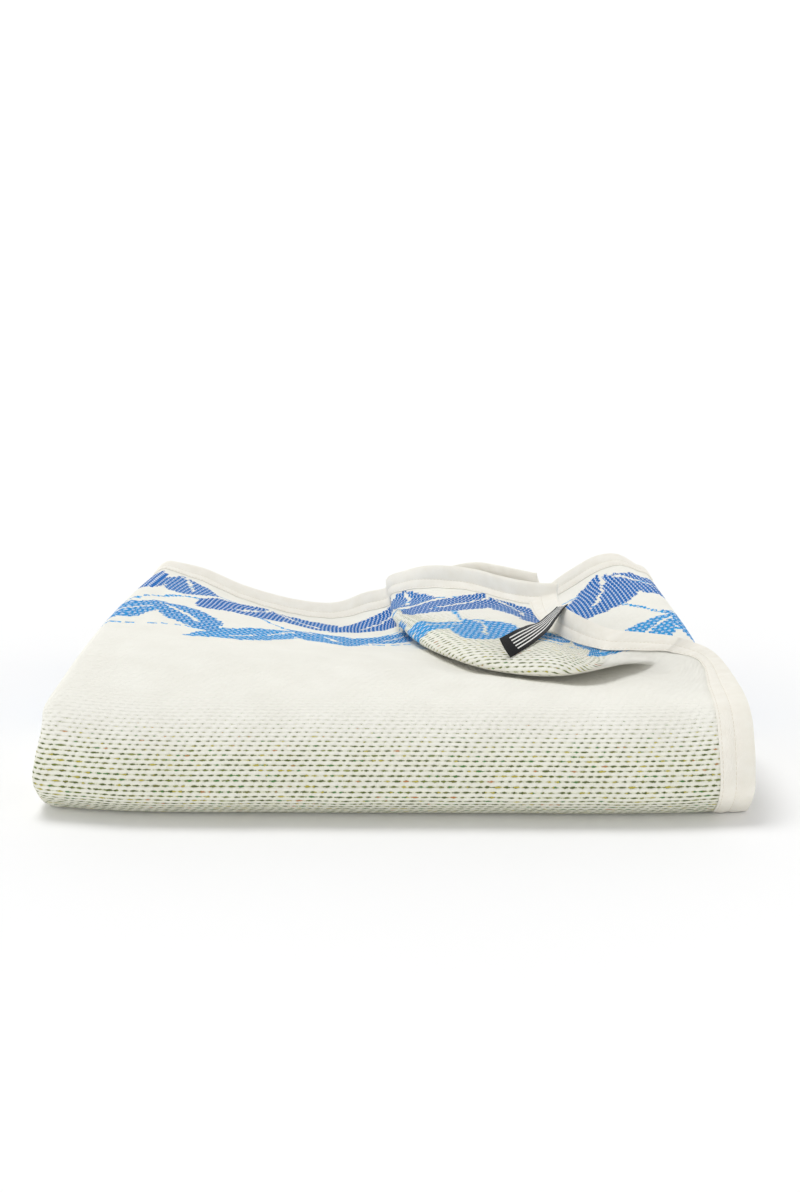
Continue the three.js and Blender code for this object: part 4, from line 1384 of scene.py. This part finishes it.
    def blue_yarns(self, r: Recipe, weave: Weave, tone: Socket) -> tuple[Socket, Socket]:
        """Draws the border's weave: white zigzag columns where the blue is deep, and dots where light, with
        painted shade between the rows.

        Args:
            r: The material's nodes.
            weave: Places in the weave.
            tone: How deep the blue is.

        Returns:
            The colour and the height.
        """
        steps = r.add("PINGPONG", weave.across, self.rib)
        swing = r.add("MULTIPLY", steps, self.zigzag / self.rib)
        in_column = self.in_cell(r, r.add("MULTIPLY_ADD", weave.along, 1 / self.column, swing))
        zigzag = r.add("MapRange", Value=r.add("ABSOLUTE", in_column), From_Min=0.32, From_Max=0.4,
                       interpolation_type="SMOOTHSTEP")
        pairs = r.add("MULTIPLY", weave.across, 0.5 / self.rib)
        odd = r.add("FLOORED_MODULO", r.add("FLOOR", pairs), 2.0)
        dots = r.add("MULTIPLY_ADD", odd, 0.5, r.add("MULTIPLY", weave.along, 1 / self.dot))
        in_dot = r.add("CombineXYZ", self.in_cell(r, dots), self.in_cell(r, pairs))
        dotted = r.add("MapRange", Value=r.add("VectorMath", in_dot, output=1, operation="LENGTH"),
                       From_Min=0.32, From_Max=0.22, interpolation_type="SMOOTHSTEP")
        white = r.add("Mix", Factor=tone, A=dotted, B=zigzag, data_type="FLOAT")
        white = r.add("MULTIPLY", white, r.add("MULTIPLY", self.ridge(r, weave.in_rib, 5.0), 0.9))
        speck = r.add("TexNoise", Vector=r.add("CombineXYZ", weave.along, weave.across),
                      Scale=self.speck_scale, Detail=2.0)
        # Painted shade: the blue turns deeper in the grooves between the rows of ribs. The specks add
        # random tone.
        row = self.ridge(r, weave.in_rib, 2.4)
        depth = r.add("ADD", r.add("MULTIPLY_ADD", speck, 1.5, -0.75),
                      r.add("MULTIPLY_ADD", row, -0.5, 0.5))
        depth = r.add("ADD", tone, depth, use_clamp=True)
        blue = r.add("Mix", Factor=depth, A=linear(self.light_blue), B=linear(self.deep_blue), output=2,
                     data_type="RGBA")
        colour = r.add("Mix", Factor=white, A=blue, B=linear(self.white_yarn), output=2,
                       data_type="RGBA")
        knit = r.add("MULTIPLY", row, self.ridge(r, in_column, 2.0))
        return colour, r.add("MULTIPLY_ADD", white, 0.35, knit)


@dataclass(frozen=True)
class TwillTape:
    """Cotton twill tape, washed: fine slanted lines, cream and matt, puckered by the stitches.

    The real lines are 0.9 mm apart. They are drawn 1.3 mm apart, so that they just show.
    """

    twill: float = 1.3
    lean: float = 0.7
    relief: float = 0.22
    # Patches of shade and worn places a millimetre.
    patch_scale: float = 0.12
    wear_scale: float = 0.9
    colour: str = "F3F1E9"
    shade: str = "E6E1D4"

    def build(self) -> bpy.types.Material:
        """Makes the material.

        Returns:
            The material, on the flat map of the cloth.
        """
        r = Recipe(bpy.data.materials.new("cotton_twill_tape"))
        mm = on_flat_map(r, CLOTH_LENGTH, CLOTH_WIDTH)
        slanted = r.add("VectorMath", mm, (1 / self.twill, self.lean / self.twill, 0.0), output=1,
                        operation="DOT_PRODUCT")
        lines = r.add("PINGPONG", slanted, 0.5)
        patches = r.add("TexNoise", Vector=mm, Scale=self.patch_scale, Detail=4.0)
        colour = r.add("Mix", Factor=patches, A=linear(self.colour), B=linear(self.shade), output=2,
                       data_type="RGBA")
        worn = r.add("TexNoise", Vector=mm, Scale=self.wear_scale, Detail=3.0)
        height = r.add("MULTIPLY", r.add("MULTIPLY_ADD", worn, 0.5, lines), self.relief)
        return r.finish(colour, height, Roughness=0.92, Specular_IOR_Level=0.25, Sheen_Weight=0.15)


@dataclass(frozen=True)
class SewingThread:
    """Spun cotton thread, a shade warmer than the tape, so that the seams just show."""

    colour: str = "EAE4D6"
    shade: str = "D2C9B6"
    # Turns of its twist a metre.
    twist_scale: float = 2500.0

    def build(self) -> bpy.types.Material:
        """Makes the material.

        Returns:
            The material, on the stitches' own coordinates.
        """
        r = Recipe(bpy.data.materials.new("cotton_sewing_thread"))
        place = r.add("TexCoord", output="Object")
        twist = r.add("TexNoise", Vector=place, Scale=self.twist_scale, Detail=2.0)
        colour = r.add("Mix", Factor=twist, A=linear(self.colour), B=linear(self.shade), output=2,
                       data_type="RGBA")
        return r.finish(colour, None, Roughness=0.8, Specular_IOR_Level=0.3)


@dataclass(frozen=True)
class LabelSatin:
    """Woven satin label: a black ground with plain white lines along it, and a little gloss."""

    ground: str = "0B0C0E"
    figure: str = "EAEAE6"
    # Distances of the lines from the middle, their width, and the length of the end without them.
    lines: tuple[float, ...] = (0.0, 1.9, 3.8)
    line_width: float = 0.7
    plain_end: float = 8.0
    # Half the distance between threads, and their height.
    thread: float = 0.25
    relief: float = 0.25

    def build(self, length: float, width: float) -> bpy.types.Material:
        """Makes the material.

        Args:
            length: The label's length, in millimetres.
            width: Its width.

        Returns:
            The material, on the label's flat map.
        """
        r = Recipe(bpy.data.materials.new("woven_satin_label"))
        mm = on_flat_map(r, length, width)
        x, y = r.add("SeparateXYZ", mm, output=0), r.add("SeparateXYZ", mm, output=1)
        side = r.add("ABSOLUTE", r.add("SUBTRACT", y, width / 2))
        white: Socket | float = 0.0
        for place in self.lines:
            away = r.add("ABSOLUTE", r.add("SUBTRACT", side, place))
            white = r.add("MAXIMUM", white, r.add("LESS_THAN", away, self.line_width / 2))
        white = r.add("MULTIPLY", white, r.add("LESS_THAN", x, length - self.plain_end))
        colour = r.add("Mix", Factor=white, A=linear(self.ground), B=linear(self.figure), output=2,
                       data_type="RGBA")
        threads = r.add("PINGPONG", x, self.thread)
        height = r.add("MULTIPLY", r.add("MULTIPLY_ADD", white, 0.12, threads), self.relief)
        return r.finish(colour, height, Roughness=0.6, Specular_IOR_Level=0.3)


@dataclass
class TowelCloth:
    """The towel's one sheet of cloth, 1.52 m long and 0.76 m wide.

    Attributes:
        grid: Its middle surface.
        pressed: How much thinner it is under the tape.
        pinched: How much thinner it is in the flap's roll.
        finish: Its material.
        piece: Its mesh object.
    """

    grid: SheetGrid
    pressed: float = 0.3
    pinched: float = 0.5
    finish: RibbedCotton = RibbedCotton()
    piece: bpy.types.Object = field(init=False)

    def build(self) -> None:
        """Builds the sheet as a closed body, its two faces one thickness apart."""
        grid = self.grid
        under_tape = grid.ranks() < len(grid.insets) - 1
        in_roll = PINCHED.share(grid.lines) * np.array([[region is Region.TOP] for region in grid.regions])
        half = np.where(under_tape, CLOTH_HALF * (1 - self.pressed), CLOTH_HALF)
        half = half * (1 - self.pinched * in_roll)
        self.piece = thick_sheet("towel_cloth_sheet", grid.points, grid.normals * half[..., None])
        set_flat_map(self.piece, np.tile(grid.flat.reshape(-1, 2), (2, 1)))
        set_value(self.piece, OPEN_RIBS, np.tile(grid.openness().ravel(), 2))

    def dress(self) -> None:
        """Gives the cloth its finish and its place in the frame."""
        self.piece.data.materials.append(self.finish.build())
        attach(self.piece, BODY)
        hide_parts("towel_cloth")


@dataclass
class EdgeTape:
    """Twill tape folded over the whole edge of the cloth, with two grooves where the stitches pull."""

    grid: SheetGrid
    # Distances of the seams from the edge, and the depth and width of their grooves.
    seams: tuple[float, ...] = (10, 17)
    groove: float = 0.3
    groove_width: float = 0.8
    # Height of the puffs beside the seams, and the middle and width of each.
    puff: float = 0.22
    puffs: tuple[tuple[float, float], ...] = ((13.5, 1.8), (5, 3.2))
    # How much thinner the tape is at its inner edge, over what width, and from where on it is pressed.
    thin_edge: float = 0.35
    thin_width: float = 0.7
    pressed_from: float = 16.4
    round_steps: int = 6
    piece: bpy.types.Object = field(init=False)

    def outer_height(self, inset: np.ndarray) -> np.ndarray:
        """Finds the height of the tape's outer face over the cloth's middle.

        Args:
            inset: Distances from the edge.

        Returns:
            The height at each.
        """
        bumps = [(-self.groove, seam, self.groove_width) for seam in self.seams]
        bumps += [(self.puff, middle, width) for middle, width in self.puffs]
        bumps.append((-self.thin_edge, TAPE_WIDTH, self.thin_width))
        height = np.full_like(inset, TAPE_OUTSIDE)
        for rise, middle, width in bumps:
            height += rise * np.exp(-((inset - middle) / width) ** 2)
        return height

    def build(self) -> None:
        """Builds the tape as a closed folded strip around the grid's edge."""
        last = len(self.grid.insets) - 1
        rank = self.grid.ranks()
        band = rank <= last
        count = int(band.sum())
        number = np.full(rank.shape, -1)
        number[band] = np.arange(count)
        insets = np.array(self.grid.insets)[rank[band]]
        normals = self.grid.normals[band]
        outer = normals * self.outer_height(insets)[:, None]
        drop = (TAPE_INSIDE - TAPE_INNER_RIM) * smooth_step(self.pressed_from, TAPE_WIDTH, insets)
        inner = normals * (TAPE_INSIDE - drop)[:, None]
        middle = self.grid.points[band]
        vertices = [middle + outer, middle + inner, middle - inner, middle - outer]
        flat = [self.grid.flat[band]] * 4
        cells = cells_of(number)
        faces = [*cells.tolist(), *(cells[:, ::-1] + count).tolist(),
                 *(cells + 2 * count).tolist(), *(cells[:, ::-1] + 3 * count).tolist()]
        wall = ring_of(number, last)
        for a, b in zip(wall, wall[1:] + wall[:1]):
            faces.append((b, b + count, a + count, a))
            faces.append((b + 2 * count, b + 3 * count, a + 3 * count, a + 2 * count))
        self.add_rim(vertices, flat, faces, number, count)
        strip = np.concatenate(vertices)
        strip[:, 2] = np.maximum(strip[:, 2], 0)
        self.piece = new_piece("edge_tape_strip", strip, faces)
        set_flat_map(self.piece, np.concatenate(flat))
        with_sharp_edges(self.piece)

    def add_rim(self, vertices: list[np.ndarray], flat: list[np.ndarray], faces: list[Sequence[int]],
                number: np.ndarray, count: int) -> None:
        """Joins the tape's two sides around the cloth's edge, outside and inside.

        Args:
            vertices: Blocks of vertices so far, added to.
            flat: Their places on the flat cloth, added to.
            faces: Faces so far, added to.
            number: Number of each grid point in a block.
            count: Vertices in a block.
        """
        ring = ring_of(number, 0)
        where = {int(n): place for place, n in np.ndenumerate(number) if n >= 0}
        places = [where[n] for n in ring]
        middle = np.array([self.grid.points[p] for p in places])
        normal = np.array([self.grid.normals[p] for p in places])
        outward = np.array([self.outward(p) for p in places])
        size = len(ring)
        for side, reach, height in ((0, SEWING_GAP + TAPE_THICKNESS, TAPE_OUTSIDE),
                                    (1, SEWING_GAP, TAPE_INSIDE)):
            top = [n + side * count for n in ring]
            bottom = [n + (3 - side) * count for n in ring]
            rows = [top]
            for step in range(1, self.round_steps):
                angle = pi / 2 - pi * step / self.round_steps
                start = sum(len(block) for block in vertices)
                vertices.append(middle + outward * reach * cos(angle) + normal * height * sin(angle))
                flat.append(np.array([self.grid.flat[p] for p in places]))
                rows.append(list(range(start, start + size)))
            rows.append(bottom)
            for upper, lower in zip(rows, rows[1:]):
                for k in range(size):
                    after = (k + 1) % size
                    face = (upper[k], lower[k], lower[after], upper[after])
                    faces.append(face if side == 0 else face[::-1])

    def outward(self, place: tuple[int, int]) -> np.ndarray:
        """Direction out of the cloth's edge, level with the cloth and square to the edge.

        Args:
            place: Column and line of a point on the edge.

        Returns:
            The direction, longer at a corner so that both sides meet.
        """
        points, normals = self.grid.points, self.grid.normals
        wide, deep = points.shape[:2]
        i, j = place
        out = np.zeros(3)
        pairs = []
        if i in (0, wide - 1):
            inner = points[1 if i == 0 else wide - 2, j]
            pairs.append((points[i, max(j - 1, 0)], points[i, min(j + 1, deep - 1)], inner))
        if j in (0, deep - 1):
            inner = points[i, 1 if j == 0 else deep - 2]
            pairs.append((points[max(i - 1, 0), j], points[min(i + 1, wide - 1), j], inner))
        for before, after, inner in pairs:
            square = np.cross(after - before, normals[i, j])
            square /= np.linalg.norm(square)
            out -= square * np.sign(square @ (inner - points[i, j]))
        return out

    def dress(self) -> None:
        """Gives the tape its finish and its place in the frame."""
        self.piece.data.materials.append(TwillTape().build())
        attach(self.piece, BODY)
        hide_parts("edge_tape")


def with_sharp_edges(piece: bpy.types.Object) -> None:
    """Shades a piece smooth, apart from its sharp edges.

    Args:
        piece: The piece.
    """
    bpy.ops.object.select_all(action="DESELECT")
    piece.select_set(True)
    bpy.context.view_layer.objects.active = piece
    bpy.ops.object.shade_smooth_by_angle(angle=radians(50))
    piece.select_set(False)


@dataclass
class Stitching:
    """Two rows of lockstitches on both faces of the tape, a stitch every 2.6 mm."""

    tape: EdgeTape
    pitch: float = 2.6
    length: float = 2.0
    thickness: float = 0.42
    flatness: float = 0.8
    piece: bpy.types.Object = field(init=False)

    def one_stitch(self) -> tuple[np.ndarray, list[tuple[int, ...]]]:
        """Models one stitch, along X.

        Returns:
            Its vertices in millimetres and its faces, always in one order.
        """
        bpy.ops.object.select_all(action="DESELECT")
        bpy.ops.mesh.primitive_uv_sphere_add(segments=4, ring_count=4, radius=0.5)
        sphere = bpy.context.object
        sphere.rotation_euler = (0, pi / 2, 0)
        bpy.ops.object.transform_apply(rotation=True)
        sphere.scale = (self.length, self.thickness, self.thickness * self.flatness)
        bpy.ops.object.transform_apply(scale=True)
        vertices = np.array([v.co for v in sphere.data.vertices])
        faces = []
        for polygon in sphere.data.polygons:
            corners = tuple(polygon.vertices)
            first = corners.index(min(corners))
            faces.append(corners[first:] + corners[:first])
        bpy.data.objects.remove(sphere)
        return vertices, sorted(faces)

    def build(self) -> None:
        """Sews the stitches along each row, as copies of one joined into one mesh."""
        shape, shape_faces = self.one_stitch()
        vertices: list[np.ndarray] = []
        faces: list[Sequence[int]] = []
        grid = self.tape.grid
        wide, deep = grid.points.shape[:2]
        number = np.arange(wide * deep).reshape(wide, deep)
        points, normals = grid.points.reshape(-1, 3), grid.normals.reshape(-1, 3)
        for seam in self.tape.seams:
            ring = ring_of(number, grid.insets.index(seam))
            ring.append(ring[0])
            height = float(self.tape.outer_height(np.array([float(seam)]))[0])
            for side in (1, -1):
                path = points[ring] + normals[ring] * side * height
                for place, along, up in self.places(path, normals[ring] * side):
                    across = np.cross(up, along)
                    start = len(vertices) * len(shape)
                    vertices.append(place + shape @ np.array((along, across, up)))
                    faces += [tuple(n + start for n in face) for face in shape_faces]
        self.piece = new_piece("tape_stitches", np.concatenate(vertices), faces)
        LOG.info("stitches: %d", len(vertices))

    def places(self, path: np.ndarray, ups: np.ndarray) -> list[tuple[np.ndarray, np.ndarray, np.ndarray]]:
        """Middle, direction and upward normal of each stitch along a closed path.

        Args:
            path: Points of the path.
            ups: Outward normals at them.

        Returns:
            A place, a direction along and a normal for each stitch.
        """
        lengths = np.linalg.norm(np.diff(path, axis=0), axis=1)
        gone = np.concatenate([[0], np.cumsum(lengths)])
        made = []
        for at in np.arange(self.pitch / 2, gone[-1], self.pitch):
            k = min(int(np.searchsorted(gone, at, side="right")) - 1, len(lengths) - 1)
            share = (at - gone[k]) / lengths[k]
            up = ups[k] * (1 - share) + ups[k + 1] * share
            along = path[k + 1] - path[k]
            along /= np.linalg.norm(along)
            up -= along * (up @ along)
            up /= np.linalg.norm(up)
            made.append((path[k] * (1 - share) + path[k + 1] * share, along, up))
        return made

    def dress(self) -> None:
        """Gives the stitches their finish and their place in the frame."""
        self.piece.data.materials.append(SewingThread().build())
        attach(self.piece, BODY)


class LabelRow(NamedTuple):
    """A place along the label: its middle and the direction across it."""

    middle: Point
    across: Point


@dataclass
class WovenLabel:
    """Woven label that hangs off the flap's edge and turns to the front."""

    width: float = 12.5
    thickness: float = 0.7
    curl: float = 0.5
    rows: tuple[LabelRow, ...] = (
        LabelRow((99.6, -34.7, 81.3), (0, 1, 0)),
        LabelRow((94, -39.5, 77.2), (-0.04, 0.98, -0.02)),
        LabelRow((87.5, -51, 74.4), (-0.18, 0.97, -0.06)),
        LabelRow((79, -71, 74.2), (-0.22, 0.93, 0.2)),
        LabelRow((70.5, -86.5, 73.4), (-0.3, 0.75, 0.58)),
        LabelRow((61.2, -98.3, 71.2), (-0.5, 0.25, 0.83)),
    )
    steps: int = 90
    cells: int = 12
    length: float = field(init=False)
    piece: bpy.types.Object = field(init=False)

    def build(self) -> None:
        """Bends a strip of grid cells along the rows and closes it to its thickness."""
        numbers = np.arange(len(self.rows))
        middles = np.array([row.middle for row in self.rows])
        acrosses = np.array([row.across for row in self.rows])
        at = np.linspace(0, len(self.rows) - 1, self.steps + 1)
        middle = curve_through(numbers, middles, at)
        across = curve_through(numbers, acrosses, at)
        along = np.gradient(middle, axis=0)
        along /= np.linalg.norm(along, axis=1, keepdims=True)
        across -= along * (across * along).sum(axis=1, keepdims=True)
        across /= np.linalg.norm(across, axis=1, keepdims=True)
        up = np.cross(along, across)
        gone = np.concatenate([[0], np.cumsum(np.linalg.norm(np.diff(middle, axis=0), axis=1))])
        self.length = float(gone[-1])
        sides = np.linspace(-0.5, 0.5, self.cells + 1)
        curl = self.curl * np.sin(pi * (sides + 0.5))
        strip = (middle[:, None] + across[:, None] * (sides * self.width)[None, :, None]
                 + up[:, None] * curl[None, :, None])
        self.piece = thick_sheet("woven_label_strip", strip, up[:, None] * self.thickness / 2)
        flat = np.stack(np.meshgrid(gone / self.length * CLOTH_LENGTH, sides * CLOTH_WIDTH, indexing="ij"),
                        axis=2).reshape(-1, 2)
        set_flat_map(self.piece, np.tile(flat, (2, 1)))
        with_sharp_edges(self.piece)

    def dress(self) -> None:
        """Gives the label its finish and its place in the frame."""
        self.piece.data.materials.append(LabelSatin().build(self.length, self.width))
        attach(self.piece, BODY)
        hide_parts("woven_label")


@dataclass
class Studio:
    """Pale floor, soft lights and the camera."""

    camera_place: tuple[float, float, float] = (0.0106, -0.8714, 0.2718)
    pitch_down: float = 12.4214
    turn: float = 0.634
    lens: float = 42.644
    frame_height: float = 36.0
    floor_size: float = 14.0
    floor_colour: str = "F6F6F6"
    floor_shade: str = "F4F4F4"
    floor_patches: float = 3.0
    wall_colour: str = "FFFFFF"
    wall_top: float = 0.34
    ceiling_from: float = 0.6
    wall_light: float = 1.45
    ceiling_light: float = 0.42
    overhead_light: float = 1.55
    overhead_angle: float = 32.0
    overhead_from: Point = (-0.25, 0.3, 1.0)

    def build(self) -> None:
        """Sets up the floor, the lights, the surroundings and the camera."""
        self.build_floor()
        self.add_sun()
        self.build_surroundings()
        bpy.context.scene.view_settings.view_transform = "Standard"
        self.add_camera()

    def build_surroundings(self) -> None:
        """Makes the white studio walls, and a dimmer ceiling, as the world's light."""
        r = Recipe(bpy.data.worlds.new("studio"))
        height = r.add("SeparateXYZ", r.add("TexCoord", output="Generated"), output=2)
        strength = r.add("MapRange", height, From_Min=self.wall_top, From_Max=self.ceiling_from,
                         To_Min=self.wall_light, To_Max=self.ceiling_light)
        r.add("OutputWorld", r.add("Background", Color=linear(self.wall_colour), Strength=strength))
        bpy.context.scene.world = r.owner

    def build_floor(self) -> None:
        """Makes a wide pale floor."""
        bpy.ops.object.select_all(action="DESELECT")
        bpy.ops.mesh.primitive_plane_add(size=self.floor_size, location=(0, 0, 0))
        floor = bpy.context.object
        floor.name = "floor"
        r = Recipe(bpy.data.materials.new("pale_painted_board"))
        patches = r.add("TexNoise", Vector=r.add("TexCoord", output="Object"), Scale=self.floor_patches,
                        Detail=2.0)
        colour = r.add("Mix", Factor=patches, A=linear(self.floor_colour), B=linear(self.floor_shade),
                       output=2, data_type="RGBA")
        floor.data.materials.append(r.finish(colour, None, Roughness=0.85, Specular_IOR_Level=0.2))

    def add_sun(self) -> None:
        """Adds the wide overhead light, as even over the floor as a ceiling of softboxes."""
        data = bpy.data.lights.new("overhead", "SUN")
        data.angle = radians(self.overhead_angle)
        data.energy = self.overhead_light
        light = bpy.data.objects.new("overhead", data)
        bpy.context.scene.collection.objects.link(light)
        light.rotation_euler = Vector(self.overhead_from).to_track_quat("Z", "Y").to_euler()

    def add_camera(self) -> None:
        """Adds the camera at the photograph's place, angle and angle of view."""
        data = bpy.data.cameras.new("camera")
        data.sensor_fit = "VERTICAL"
        data.sensor_height = self.frame_height
        data.lens = self.lens
        camera = bpy.data.objects.new("camera", data)
        bpy.context.scene.collection.objects.link(camera)
        camera.location = self.camera_place
        camera.rotation_euler = (pi / 2 - radians(self.pitch_down), 0, radians(self.turn))
        bpy.context.scene.camera = camera


def main() -> None:
    """Builds the towel piece by piece, dresses it and sets up the studio."""
    logging.basicConfig(level=logging.INFO, format="%(name)s: %(message)s")
    bpy.ops.object.select_all(action="DESELECT")
    Studio().build()
    grid = SheetGrid(INSETS)
    cloth, tape, label = TowelCloth(grid), EdgeTape(grid), WovenLabel()
    stitching = Stitching(tape)
    for part in (cloth, tape, stitching, label):
        part.build()
        part.dress()
        part.piece.data.calc_loop_triangles()
        LOG.info("%s: %d triangles", part.piece.name, len(part.piece.data.loop_triangles))


if __name__ == "__main__":
    main()
